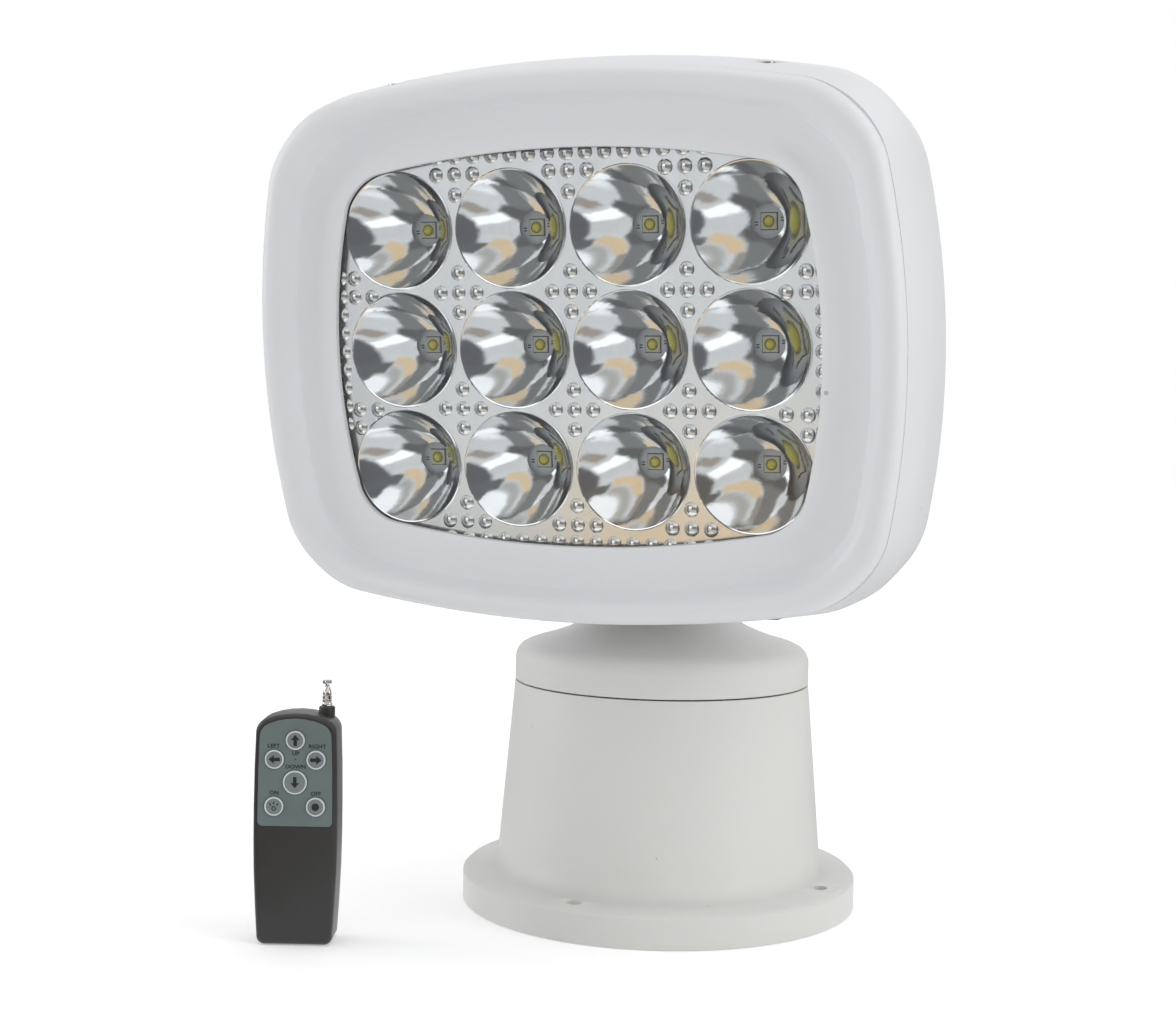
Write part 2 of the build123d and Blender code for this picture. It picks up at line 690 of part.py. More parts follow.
with BuildPart() as tilt_gear:
    with BuildSketch(turret_side(tilt_gear_left)):
        add(gear_outline(TILT_GEAR_TEETH, GEAR_MODULE, pinion_angle + REST_TILT))
        with BuildLine():
            wedge = [polar(60, radians(90 + side * sector_half_span)) for side in (-1, 0, 1)]
            Polyline((0, 0), wedge[0], (wedge[0][0], 60), (wedge[2][0], 60), wedge[2], close=True)
        make_face(mode=Mode.INTERSECT)
        Circle(axle_hub_radius + 1.0)
        Circle(AXLE_RADIUS + FIT, mode=Mode.SUBTRACT)
    extrude(amount=TILT_GEAR_WIDTH)
save(tilt_gear.part, "tilt_gear")

with BuildPart() as axle_clips:
    for across in (axle_left + 2.0, axle_right - 2.0 - clip_thickness):
        with BuildSketch(turret_side(across)):
            Circle(AXLE_RADIUS + 2.5)
            Circle(AXLE_RADIUS + FIT, mode=Mode.SUBTRACT)
            with Locations((0, -AXLE_RADIUS - 2)):
                Rectangle(5, 6, mode=Mode.SUBTRACT)
        extrude(amount=clip_thickness)
save(axle_clips.part, "axle_clips")

# Head frame: the face plane leans forward by the rest tilt

lean = radians(REST_TILT)
HEAD_FORWARD = Vector(0, -cos(lean), -sin(lean))
HEAD_UP = Vector(0, -sin(lean), cos(lean))
face_centre = tilt_centre + HEAD_FORWARD * FACE_AHEAD + HEAD_UP * FACE_ABOVE


def face_plane(depth):
    """Plane across the head, a distance in front of the reflector's face: x is across, y is up."""
    return Plane(face_centre + HEAD_FORWARD * depth, x_dir=(1, 0, 0), z_dir=HEAD_FORWARD)


def head_side(across):
    """Plane facing +X that leans with the head: its x runs to the rear and its y runs up."""
    return Plane(tilt_centre + Vector(across, 0, 0), x_dir=HEAD_FORWARD * -1, z_dir=(1, 0, 0))


def bowed_outline(half_width, half_height, corner):
    """Rounded rectangle whose four sides bow outwards, like the lamp's lip."""
    scale = half_width / LIP_HALF_WIDTH
    x = half_width - SIDE_BOW * scale
    y = half_height - TOP_BOW * scale
    arcs = [
        Edge.make_three_point_arc((x, -y), (half_width, 0), (x, y)),
        Edge.make_three_point_arc((x, y), (0, half_height), (-x, y)),
        Edge.make_three_point_arc((-x, y), (-half_width, 0), (-x, -y)),
        Edge.make_three_point_arc((-x, -y), (0, -half_height), (x, -y)),
    ]
    face = Face(Wire(arcs))
    return face.fillet_2d(corner, face.vertices())


def lip_offset(inset, corner=None):
    """The lip's outline drawn smaller all round by an inset."""
    radius = LIP_CORNER - inset * 0.6 if corner is None else corner
    return bowed_outline(LIP_HALF_WIDTH - inset, LIP_HALF_HEIGHT - inset, radius)


# Rear shell sections: forward place, growth over the lip, share of the taper and drop
SHELL_FLARE = 3.2
SHELL_REAR = -130.0
REAR_HALF_WIDTH = 40.0
REAR_HALF_HEIGHT = 28.0
TAIL_DROP = 9.0


def shell_section(depth, wall):
    """Half width, half height, corner and drop of the shell at a depth, less a wall."""
    if depth > -18:
        grow = SHELL_FLARE * sin(pi / 2 * (SHELL_FRONT - depth) / (SHELL_FRONT + 18))
        width, height, share = LIP_HALF_WIDTH + grow, LIP_HALF_HEIGHT + grow * 1.2, 0.0
    else:
        share = (-18 - depth) / (-18 - SHELL_REAR)
        bend = 1 - (1 - share**2.1) ** 0.62
        width = LIP_HALF_WIDTH + SHELL_FLARE - bend * (LIP_HALF_WIDTH + SHELL_FLARE - REAR_HALF_WIDTH)
        full_height = LIP_HALF_HEIGHT + SHELL_FLARE * 1.2
        height = full_height - bend * (full_height - REAR_HALF_HEIGHT)
    corner = (LIP_CORNER - 1.0) * (height - wall) / LIP_HALF_HEIGHT
    return width - wall, height - wall, corner, TAIL_DROP * share


shell_depths = [SHELL_FRONT, -7.0, -18.0, -40.0, -62.0, -84.0, -103.0, -117.0, -126.0, SHELL_REAR]
knuckle_radius = DRUM_RADIUS + DRUM_CLEARANCE + KNUCKLE_WALL
bush_outer_radius = AXLE_RADIUS + RUNNING + BUSH_WALL


def shell_loft(depths, wall):
    """Solid between the shell's sections, drawn smaller all round by a wall."""
    with BuildPart() as body:
        for depth in depths:
            width, height, corner, drop = shell_section(depth, wall)
            place = depth + wall if depth == SHELL_REAR else depth
            plane = face_plane(place)
            plane.origin = plane.origin - HEAD_UP * drop
            with BuildSketch(plane):
                add(bowed_outline(width, height, corner))
        loft(ruled=True)
    return body.part


shell_outer = shell_loft(shell_depths, 0.0)
shell_inner = shell_loft(shell_depths[::3], SHELL_WALL)


def slot_outline(wall):
    """The column's sweep through the knuckle, seen from +X, grown by a wall."""
    down, up = radians(TILT_DOWN), radians(TILT_UP)
    front = CAP_NECK_RADIUS + 1.0 + wall
    back = NECK_DEPTH / 2 + COLUMN_CLEARANCE + wall
    reach = 80.0
    front_top = (-front * cos(down), front * sin(down))
    back_top = (back * cos(up), back * sin(up))
    front_foot = (front_top[0] - reach * sin(down), front_top[1] - reach * cos(down))
    back_foot = (back_top[0] + reach * sin(up), back_top[1] - reach * cos(up))
    with BuildLine() as line:
        Polyline(front_top, front_foot, (20, -reach - 20), back_foot, back_top, close=True)
    return make_face(line.edges())


screw_faces = [(BEZEL_SCREW_ACROSS, 1), (-BEZEL_SCREW_ACROSS, 1), (BEZEL_SCREW_ACROSS, -1), (-BEZEL_SCREW_ACROSS, -1)]
side_width, side_height, side_corner, side_drop = shell_section(BEZEL_SCREW_DEPTH, 0.0)
shell_crown = side_height - TOP_BOW * (BEZEL_SCREW_ACROSS / (side_width - SIDE_BOW)) ** 2
bezel_screw_seat = shell_crown - 1.7


def edge_screw_plane(across, side, height):
    """Plane facing up or down the head, over a bezel screw."""
    origin = face_plane(BEZEL_SCREW_DEPTH).from_local_coords((across, side * height, 0))
    return Plane(origin, x_dir=(1, 0, 0), z_dir=HEAD_UP * side)


with BuildPart() as slot_walls:
    with BuildSketch(head_side(-cheek_outer)):
        add(slot_outline(KNUCKLE_WALL))
    extrude(amount=2 * cheek_outer)
    add(shell_outer, mode=Mode.INTERSECT)

post_places = [polar(33.0, radians(50)), polar(33.0, radians(170))]
tilt_post_length = 10.2
tilt_bracket_left = cheek_outer + tilt_post_length

with BuildPart() as rear_shell:
    add(shell_outer)
    add(shell_inner, mode=Mode.SUBTRACT)
    with BuildSketch(head_side(-cheek_outer)):
        Circle(knuckle_radius)
    extrude(amount=2 * cheek_outer)
    add(slot_walls.part)
    with BuildSketch(head_side(cheek_outer - 1.0)):
        with Locations(*post_places):
            Circle(3.5)
    extrude(amount=tilt_post_length + 1.0)
    with BuildSketch(head_side(-cheek_inner)):
        Circle(knuckle_radius - KNUCKLE_WALL)
        add(slot_outline(0.0))
    extrude(amount=2 * cheek_inner, mode=Mode.SUBTRACT)
    with BuildSketch(head_side(-cheek_outer)):
        Circle(bush_outer_radius + FIT)
    extrude(amount=2 * cheek_outer, mode=Mode.SUBTRACT)
    with BuildSketch(head_side(tilt_bracket_left)):
        with Locations(*post_places):
            Circle(SCREW_RADIUS + RUNNING)
    extrude(amount=-9, mode=Mode.SUBTRACT)
    for across, side in screw_faces:
        with BuildSketch(edge_screw_plane(across, side, bezel_screw_seat)):
            Circle(3.1)
        extrude(amount=6, mode=Mode.SUBTRACT)
        with BuildSketch(edge_screw_plane(across, side, bezel_screw_seat)):
            Circle(SCREW_RADIUS + LOOSE)
        extrude(amount=-4, mode=Mode.SUBTRACT)
save(rear_shell.part, "rear_shell")

edge_screws = []
for across, side in screw_faces:
    seat = edge_screw_plane(across, side, bezel_screw_seat)
    edge_screws.extend(screw_group(seat, [(0, 0)], 2.7, 1.2, SCREW_RADIUS, 8.5).solids())
save(Compound(children=edge_screws), "bezel_screws")

# Bezel: rounded outer rim, stepped inner lip, flat shelf round the window and a skirt inside the shell

column_places = [(82.5, 25.0), (-82.5, 25.0), (82.5, -25.0), (-82.5, -25.0)]
lens_half_width = WINDOW_HALF_WIDTH + LENS_MARGIN
lens_half_height = WINDOW_HALF_HEIGHT + LENS_MARGIN
lens_corner = WINDOW_CORNER + 4.0
lens_front = LENS_BACK + LENS_THICKNESS
shelf_back = 0.3
skirt_inset = SHELL_WALL + SEAT
rim_steps = [(SHELL_FRONT, 0.0), (8.0, 1.2), (9.2, 2.8), (LIP_FRONT, 4.3)]
star_back = -STAR_FRONT - STAR_THICKNESS

with BuildPart() as rim_dish:
    for depth, inset in ((BEZEL_SHELF, 7.55), (LIP_FRONT + 1.0, 4.7)):
        with BuildSketch(face_plane(depth)):
            add(lip_offset(inset))
    loft()

with BuildPart() as bezel:
    for depth, inset in rim_steps:
        with BuildSketch(face_plane(depth)):
            add(lip_offset(inset))
    loft(ruled=True)
    with BuildSketch(face_plane(-BEZEL_SKIRT)):
        add(lip_offset(skirt_inset))
    extrude(amount=BEZEL_SKIRT + SHELL_FRONT)
    add(rim_dish.part, mode=Mode.SUBTRACT)
    with BuildSketch(face_plane(-BEZEL_SKIRT)):
        add(lip_offset(skirt_inset + 2.7))
    extrude(amount=BEZEL_SKIRT + shelf_back, mode=Mode.SUBTRACT)
    with BuildSketch(face_plane(shelf_back)):
        add(bowed_outline(lens_half_width + LOOSE, lens_half_height + LOOSE, lens_corner))
    extrude(amount=lens_front - shelf_back, mode=Mode.SUBTRACT)
    with BuildSketch(face_plane(shelf_back)):
        add(bowed_outline(WINDOW_HALF_WIDTH, WINDOW_HALF_HEIGHT, WINDOW_CORNER))
    extrude(amount=LIP_FRONT, mode=Mode.SUBTRACT)
    with BuildSketch(face_plane(star_back)):
        with Locations(*column_places):
            Circle(3.5)
    extrude(amount=shelf_back - star_back + 1.0)
    for across, side in screw_faces:
        with BuildSketch(edge_screw_plane(across, side, bezel_screw_seat - 11.0)):
            Circle(3.5)
        extrude(amount=6.0)
        with BuildSketch(edge_screw_plane(across, side, bezel_screw_seat)):
            Circle(SCREW_RADIUS + RUNNING)
        extrude(amount=-9.5, mode=Mode.SUBTRACT)
    with BuildSketch(face_plane(star_back)):
        with Locations(*column_places):
            Circle(SCREW_RADIUS + RUNNING)
    extrude(amount=12, mode=Mode.SUBTRACT)
save(bezel.part, "bezel")

with BuildPart() as lens:
    with BuildSketch(face_plane(LENS_BACK)):
        add(bowed_outline(lens_half_width, lens_half_height, lens_corner))
    extrude(amount=LENS_THICKNESS)
save(lens.part, "lens")

with BuildPart() as lens_gasket:
    with BuildSketch(face_plane(0)):
        add(bowed_outline(lens_half_width, lens_half_height, lens_corner))
        add(bowed_outline(lens_half_width - 3.0, lens_half_height - 3.0, lens_corner - 2.0), mode=Mode.SUBTRACT)
    extrude(amount=LENS_BACK)
save(lens_gasket.part, "lens_gasket")

# Reflector: twelve parabolic cups standing behind one panel, with six screw posts between them

cup_places = [
    (LED_PITCH_ACROSS * (column - (LED_COLUMNS - 1) / 2), LED_PITCH_UP * (row - (LED_ROWS - 1) / 2))
    for column in range(LED_COLUMNS)
    for row in range(LED_ROWS)
]
post_rows = [LED_PITCH_UP * (row - (LED_ROWS - 2) / 2) for row in range(LED_ROWS - 1)]
post_columns = [LED_PITCH_ACROSS * (column - 1) for column in range(3)]
reflector_posts = [(across, up) for across in post_columns for up in post_rows]
focal_slope = (CUP_RADIUS**2 - CUP_HOLE_RADIUS**2) / CUP_DEPTH
vertex_depth = CUP_RADIUS**2 / focal_slope

cup_radii = [CUP_RADIUS + (CUP_HOLE_RADIUS - CUP_RADIUS) * k / CUP_STEPS for k in range(CUP_STEPS + 1)]
parabola_points = [(radius, radius**2 / focal_slope - vertex_depth) for radius in cup_radii]
cup_outside = [(CUP_HOLE_RADIUS + 3.4, -CUP_DEPTH), (CUP_RADIUS + CUP_WALL, -PANEL_THICKNESS)]

with BuildPart() as cup_wall:
    with BuildSketch(Plane.XZ):
        with BuildLine():
            Polyline(*parabola_points, *cup_outside, (CUP_RADIUS + CUP_WALL, 0), close=True)
        make_face()
    revolve(axis=Axis.Z)

with BuildPart(face_plane(0)) as reflector:
    with BuildSketch(face_plane(-PANEL_THICKNESS)):
        add(bowed_outline(lens_half_width + 1.0, lens_half_height + 1.0, lens_corner))
        with Locations(*cup_places):
            Circle(CUP_RADIUS + CUP_WALL / 2, mode=Mode.SUBTRACT)
    extrude(amount=PANEL_THICKNESS)
    with Locations(*cup_places):
        add(cup_wall.part)
    with BuildSketch(face_plane(star_back)):
        with Locations(*reflector_posts):
            Circle(3.2)
    extrude(amount=-star_back - PANEL_THICKNESS / 2)
    with BuildSketch(face_plane(star_back)):
        with Locations(*reflector_posts):
            Circle(SCREW_RADIUS + RUNNING)
    extrude(amount=12, mode=Mode.SUBTRACT)
save(reflector.part, "reflector")

# LEDs on round boards, bonded to a finned heat sink

with BuildPart() as led_boards:
    with BuildSketch(face_plane(star_back)):
        with Locations(*cup_places):
            Circle(STAR_RADIUS)
    extrude(amount=STAR_THICKNESS)
save(led_boards.part, "led_boards")

with BuildPart() as leds:
    with BuildSketch(face_plane(-STAR_FRONT)):
        with Locations(*cup_places):
            Rectangle(LED_SIDE, LED_SIDE)
    extrude(amount=LED_HEIGHT)
save(leds.part, "leds")

with BuildPart(face_plane(LED_HEIGHT - STAR_FRONT)) as led_domes:
    with Locations(*cup_places):
        Sphere(LED_DOME_RADIUS, arc_size1=0, align=LOW)
save(led_domes.part, "led_domes")

sink_back = star_back - SINK_THICKNESS
driver_posts = [(30.1, 8.0), (-30.1, 8.0), (30.1, 48.0), (-30.1, 48.0)]
driver_front = sink_back - FIN_DEPTH - 3.0

with BuildPart() as heat_sink:
    with BuildSketch(face_plane(sink_back)):
        add(lip_offset(SINK_INSET))
    extrude(amount=SINK_THICKNESS)
    with BuildSketch(face_plane(sink_back)):
        with GridLocations(FIN_PITCH, 1, FIN_COUNT, 1):
            Rectangle(FIN_THICKNESS, 104)
    extrude(amount=-FIN_DEPTH)
    with BuildSketch(face_plane(sink_back)):
        with Locations(*driver_posts):
            Circle(2.8)
    extrude(amount=driver_front - sink_back)
    with BuildSketch(face_plane(sink_back)):
        with Locations(*column_places):
            Circle(SCREW_RADIUS + LOOSE)
    extrude(amount=SINK_THICKNESS, mode=Mode.SUBTRACT)
    with BuildSketch(face_plane(sink_back - FIN_DEPTH)):
        with Locations(*reflector_posts):
            Circle(3.2)
    extrude(amount=FIN_DEPTH, mode=Mode.SUBTRACT)
    with BuildSketch(face_plane(sink_back)):
        with Locations(*reflector_posts):
            Circle(SCREW_RADIUS + LOOSE)
    extrude(amount=SINK_THICKNESS, mode=Mode.SUBTRACT)
save(heat_sink.part, "heat_sink")


def backward(depth):
    """Plane that looks to the rear at a depth; its x is turned over, so places are too."""
    plane = face_plane(depth)
    return Plane(plane.origin, x_dir=(-1, 0, 0), z_dir=HEAD_FORWARD * -1)


sink_screw_places = column_places + reflector_posts
sink_screws = screw_group(backward(sink_back), sink_screw_places, 2.8, 1.4, SCREW_RADIUS, 14)

driver_back = driver_front - 1.6
with BuildPart() as led_driver:
    with BuildSketch(face_plane(driver_back)):
        with Locations((0, 28)):
            Rectangle(70, 50)
    extrude(amount=1.6)
save(led_driver.part, "led_driver")

with BuildPart(backward(driver_back)) as driver_parts:
    with Locations((14, 30, 0), (-14, 30, 0)):
        Cylinder(6.5, 11, align=LOW)
    with Locations((0, 14, 0), (0, 44, 0)):
        Box(12, 8, 7, align=LOW)
save(driver_parts.part, "driver_parts")

# Tilt bushes, tilt gearmotor, its bracket and pinion

with BuildPart() as tilt_bushes:
    for side in (1, -1):
        with BuildSketch(head_side(side * cheek_inner)):
            Circle(bush_outer_radius)
            Circle(AXLE_RADIUS + RUNNING, mode=Mode.SUBTRACT)
        extrude(amount=side * KNUCKLE_CHEEK)
        with BuildSketch(head_side(side * cheek_outer)):
            Circle(bush_outer_radius + 2.4)
            Circle(AXLE_RADIUS + RUNNING, mode=Mode.SUBTRACT)
        extrude(amount=side * bush_flange)
save(tilt_bushes.part, "tilt_bushes")

pinion_place = polar(tilt_centres, radians(pinion_angle))
pinion_contact = pinion_angle + 180 + 180 / TILT_PINION_TEETH
tilt_bracket_right = tilt_bracket_left + BRACKET_THICKNESS

with BuildPart() as tilt_motor_bracket:
    with BuildSketch(head_side(tilt_bracket_left)):
        with Locations(*post_places):
            Circle(5.0)
        with Locations(pinion_place):
            Circle(GEARBOX_RADIUS)
        make_hull()
        with Locations(pinion_place):
            Circle(PINION_SHAFT_RADIUS + 1.0, mode=Mode.SUBTRACT)
        with Locations(*post_places):
            Circle(SCREW_RADIUS + LOOSE, mode=Mode.SUBTRACT)
    extrude(amount=BRACKET_THICKNESS)
save(tilt_motor_bracket.part, "tilt_motor_bracket")

tilt_screws = screw_group(head_side(tilt_bracket_right), post_places, 2.8, 1.2, SCREW_RADIUS, 9)
save(Compound(children=sink_screws.solids() + tilt_screws.solids()), "head_screws")

pinion_origin = head_side(tilt_bracket_right).from_local_coords((pinion_place[0], pinion_place[1], 0))
tilt_drive_plane = Plane(pinion_origin, x_dir=HEAD_UP, z_dir=(-1, 0, 0))
save(gearbox(tilt_drive_plane, 8.0), "tilt_gearbox")
save(motor_can(tilt_drive_plane.offset(-GEARBOX_LENGTH)), "tilt_motor")

tooth_origin = head_side(tilt_gear_left).from_local_coords((pinion_place[0], pinion_place[1], 0))
tilt_pinion_plane = Plane(tooth_origin, x_dir=HEAD_FORWARD * -1, z_dir=(1, 0, 0))
tilt_shaft_front = tilt_bracket_right - tilt_gear_left - TILT_GEAR_WIDTH + 7.5
tilt_pinion = pinion(
    tilt_pinion_plane, TILT_PINION_TEETH, pinion_contact, TILT_GEAR_WIDTH, tilt_shaft_front, 1.0
)
save(tilt_pinion, "tilt_pinion")

# Handset: two half shells, keypad label, six keys, board, battery and a telescopic aerial

hand_turn = radians(HANDSET_TURN)
HAND_RIGHT = Vector(cos(hand_turn), sin(hand_turn), 0)
HAND_OUT = Vector(sin(hand_turn), -cos(hand_turn), 0)
hand_half = HANDSET_DEPTH / 2
hand_apex = HANDSET_HEIGHT + 1.2
KEYS = [
    ("key_up", 0.0, 58.7, KEY_RADIUS),
    ("key_left", -KEY_SIDE_OFFSET, 53.2, KEY_RADIUS),
    ("key_right", KEY_SIDE_OFFSET, 53.2, KEY_RADIUS),
    ("key_down", 0.0, 46.7, DOWN_KEY_RADIUS),
    ("key_on", -KEY_SIDE_OFFSET, 39.8, KEY_RADIUS),
    ("key_off", KEY_SIDE_OFFSET, 39.8, KEY_RADIUS),
]


def hand_plane(depth):
    """Upright plane across the handset, a distance in front of its middle."""
    origin = Vector(*HANDSET_PLACE, 0) + HAND_OUT * depth
    return Plane(origin, x_dir=HAND_RIGHT, z_dir=HAND_OUT)


def hand_outline(inset):
    """Handset's front view: narrow foot, wider shoulders and a domed top, less an inset."""
    foot = HANDSET_FOOT_WIDTH / 2 - inset
    shoulder = HANDSET_TOP_WIDTH / 2 - inset
    waist = (foot + shoulder) / 2 + HANDSET_SIDE_BOW
    top = HANDSET_SHOULDER - inset
    with BuildLine() as line:
        Line((-foot, inset), (foot, inset))
        ThreePointArc((foot, inset), (waist, 30), (shoulder, top))
        ThreePointArc((shoulder, top), (0, hand_apex - inset), (-shoulder, top))
        ThreePointArc((-shoulder, top), (-waist, 30), (-foot, inset))
    face = make_face(line.edges())
    return face.face().fillet_2d(3.0 - inset * 0.6, face.vertices())


def key_sketch(grow):
    """Circles for all six keys, grown by a gap."""
    return [(Location((across, up)), radius + grow) for _, across, up, radius in KEYS]


hand_screw_places = [(-7.5, 5.0), (7.5, 5.0), (-7.5, 33.5), (7.5, 33.5)]
label_depth = 0.35
label_inset = 1.35
label_foot = 34.1



def label_sketch(sketch, grow):
    """Keypad label: the handset's outline over a straight foot with two rounded corners."""
    add(hand_outline(label_inset - grow))
    with Locations((0, label_foot - grow)):
        Rectangle(40, 60, align=(Align.CENTER, Align.MIN), mode=Mode.INTERSECT)
    fillet(sketch.vertices().group_by(Axis.Z)[0], 1.3)


with BuildPart() as front_shell:
    with BuildSketch(hand_plane(0)):
        add(hand_outline(0.0))
    extrude(amount=hand_half)
    chamfer(front_shell.faces().sort_by(Axis(hand_plane(0).origin, HAND_OUT))[-1].edges(), 1.1)
    with BuildSketch(hand_plane(0)):
        add(hand_outline(HANDSET_WALL))
    extrude(amount=hand_half - HANDSET_WALL, mode=Mode.SUBTRACT)
    with BuildSketch(hand_plane(0)):
        with Locations(*hand_screw_places):
            Circle(2.2)
    extrude(amount=hand_half - HANDSET_WALL + 0.2)
    with BuildSketch(hand_plane(0)):
        with Locations(*hand_screw_places):
            Circle(0.9 + RUNNING)
    extrude(amount=4.5, mode=Mode.SUBTRACT)
    with BuildSketch(hand_plane(hand_half - HANDSET_WALL)):
        for place, radius in key_sketch(SEAT):
            with Locations(place):
                Circle(radius)
    extrude(amount=HANDSET_WALL, mode=Mode.SUBTRACT)
    with BuildSketch(hand_plane(hand_half - label_depth)) as label_recess:
        label_sketch(label_recess, 0.1)
    extrude(amount=1, mode=Mode.SUBTRACT)
save(front_shell.part, "front_shell")

with BuildPart() as keypad_label:
    with BuildSketch(hand_plane(hand_half - label_depth)) as label_face:
        label_sketch(label_face, 0.0)
        for place, radius in key_sketch(SEAT):
            with Locations(place):
                Circle(radius, mode=Mode.SUBTRACT)
    extrude(amount=label_depth)
save(keypad_label.part, "keypad_label")

hand_board_front = 1.2
for name, across, up, radius in KEYS:
    with BuildPart() as key:
        with BuildSketch(hand_plane(hand_board_front + KEY_TRAVEL + 0.3)):
            with Locations((across, up)):
                Circle(radius * 0.45)
        extrude(amount=hand_half - HANDSET_WALL - SEAT - hand_board_front - KEY_TRAVEL - 0.3)
        with BuildSketch(hand_plane(hand_half - HANDSET_WALL - SEAT - 0.8)):
            with Locations((across, up)):
                Circle(radius)
        extrude(amount=HANDSET_WALL + SEAT + 0.8 + 0.55)
        chamfer(key.faces().sort_by(Axis(hand_plane(0).origin, HAND_OUT))[-1].edges(), 0.3)
    save(key.part, name)

battery_place = (0.0, 19.2)
battery_radius = 8.0
battery_thickness = 3.2
door_width = 17.5
door_height = 19.5
inner_back = HANDSET_WALL - hand_half
screw_recess = 1.1


def aerial_plane(height):
    """Plane square to the aerial at a height above the handset's foot."""
    origin = hand_plane(-AERIAL_BACK).from_local_coords((AERIAL_ACROSS, height, 0))
    return Plane(origin, x_dir=HAND_RIGHT, z_dir=(0, 0, 1))


with BuildPart() as back_shell:
    with BuildSketch(hand_plane(-hand_half)):
        add(hand_outline(0.0))
    extrude(amount=hand_half)
    chamfer(back_shell.faces().sort_by(Axis(hand_plane(0).origin, HAND_OUT))[0].edges(), 1.1)
    with BuildSketch(hand_plane(inner_back)):
        add(hand_outline(HANDSET_WALL))
    extrude(amount=-inner_back, mode=Mode.SUBTRACT)
    with BuildSketch(hand_plane(inner_back)):
        with Locations(*hand_screw_places):
            Circle(3.0)
    extrude(amount=-inner_back)
    with BuildSketch(hand_plane(-hand_half)):
        with Locations(*hand_screw_places):
            Circle(0.9 + LOOSE)
    extrude(amount=hand_half, mode=Mode.SUBTRACT)
    with BuildSketch(hand_plane(-hand_half)):
        with Locations(*hand_screw_places):
            Circle(1.8)
    extrude(amount=screw_recess, mode=Mode.SUBTRACT)
    with BuildSketch(hand_plane(-hand_half)):
        with Locations(battery_place):
            Rectangle(door_width + 2 * LOOSE, door_height + 2 * LOOSE)
    extrude(amount=HANDSET_WALL, mode=Mode.SUBTRACT)
    with BuildSketch(aerial_plane(AERIAL_FOOT + 20)):
        Circle(2.0 + RUNNING)
    extrude(amount=20, mode=Mode.SUBTRACT)
    with BuildSketch(aerial_plane(AERIAL_COLLAR_BOTTOM)):
        Circle(2.3 + RUNNING)
    extrude(amount=10, mode=Mode.SUBTRACT)
save(back_shell.part, "back_shell")

with BuildPart() as battery_door:
    with BuildSketch(hand_plane(-hand_half)):
        with Locations(battery_place):
            Rectangle(door_width, door_height)
    extrude(amount=HANDSET_WALL)
    with BuildSketch(hand_plane(inner_back)):
        with Locations((0, battery_place[1] - door_height / 2)):
            Rectangle(8, 2.4)
    extrude(amount=0.8)
save(battery_door.part, "battery_door")

with BuildPart() as battery:
    with BuildSketch(hand_plane(inner_back)):
        with Locations(battery_place):
            Circle(battery_radius)
    extrude(amount=battery_thickness)
    chamfer(battery.edges(), 0.3)
save(battery.part, "battery")

with BuildPart() as handset_board:
    with BuildSketch(hand_plane(0)):
        add(hand_outline(HANDSET_WALL + SEAT))
        with Locations(*hand_screw_places):
            Circle(2.2 + SEAT, mode=Mode.SUBTRACT)
    extrude(amount=hand_board_front)
with BuildPart() as battery_contacts:
    with BuildSketch(hand_plane(inner_back + battery_thickness)):
        with Locations((4, battery_place[1]), (-4, battery_place[1])):
            Circle(1.5)
    extrude(amount=-inner_back - battery_thickness)
save(Compound(children=handset_board.solids() + battery_contacts.solids()), "handset_board")

hand_screw_seat = hand_plane(-hand_half + screw_recess)
hand_screw_plane = Plane(hand_screw_seat.origin, x_dir=HAND_RIGHT * -1, z_dir=HAND_OUT * -1)
hand_screw_mirror = [(-across, up) for across, up in hand_screw_places]
save(screw_group(hand_screw_plane, hand_screw_mirror, 1.6, 0.9, 0.9, 8.5), "handset_screws")

with BuildPart() as aerial_tube:
    with BuildSketch(aerial_plane(AERIAL_FOOT)):
        Circle(2.0)
        Circle(1.6, mode=Mode.SUBTRACT)
    extrude(amount=AERIAL_COLLAR_TOP - AERIAL_FOOT)
    with BuildSketch(aerial_plane(AERIAL_COLLAR_BOTTOM)):
        Circle(2.3)
        Circle(1.6, mode=Mode.SUBTRACT)
    extrude(amount=AERIAL_COLLAR_TOP - AERIAL_COLLAR_BOTTOM)
save(aerial_tube.part, "aerial_tube")

with BuildPart() as aerial_section:
    with BuildSketch(aerial_plane(AERIAL_FOOT + 1)):
        Circle(1.6 - RUNNING)
        Circle(1.15, mode=Mode.SUBTRACT)
    extrude(amount=AERIAL_COLLAR_TOP - AERIAL_FOOT)
save(aerial_section.part, "aerial_section")

with BuildPart() as aerial_tip:
    with BuildSketch(aerial_plane(AERIAL_FOOT + 2)):
        Circle(1.15 - RUNNING)
    extrude(amount=AERIAL_TOP - AERIAL_FOOT - 2)
    with BuildSketch(aerial_plane(AERIAL_COLLAR_TOP + 1.3)):
        Circle(1.5)
    extrude(amount=AERIAL_TOP - AERIAL_COLLAR_TOP - 1.3)
    with BuildSketch(aerial_plane(AERIAL_TOP - 2.2)):
        Circle(1.9)
    extrude(amount=2.2)
    chamfer(aerial_tip.edges().filter_by(GeomType.CIRCLE).sort_by(Axis.Z)[-1], 0.6)
save(aerial_tip.part, "aerial_tip")
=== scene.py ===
"""Looks of the remote control spotlight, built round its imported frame. Lengths in its tables are millimetres."""
import json
from math import cos, pi, radians, sin

import bmesh
import bpy
from mathutils import Matrix, Vector

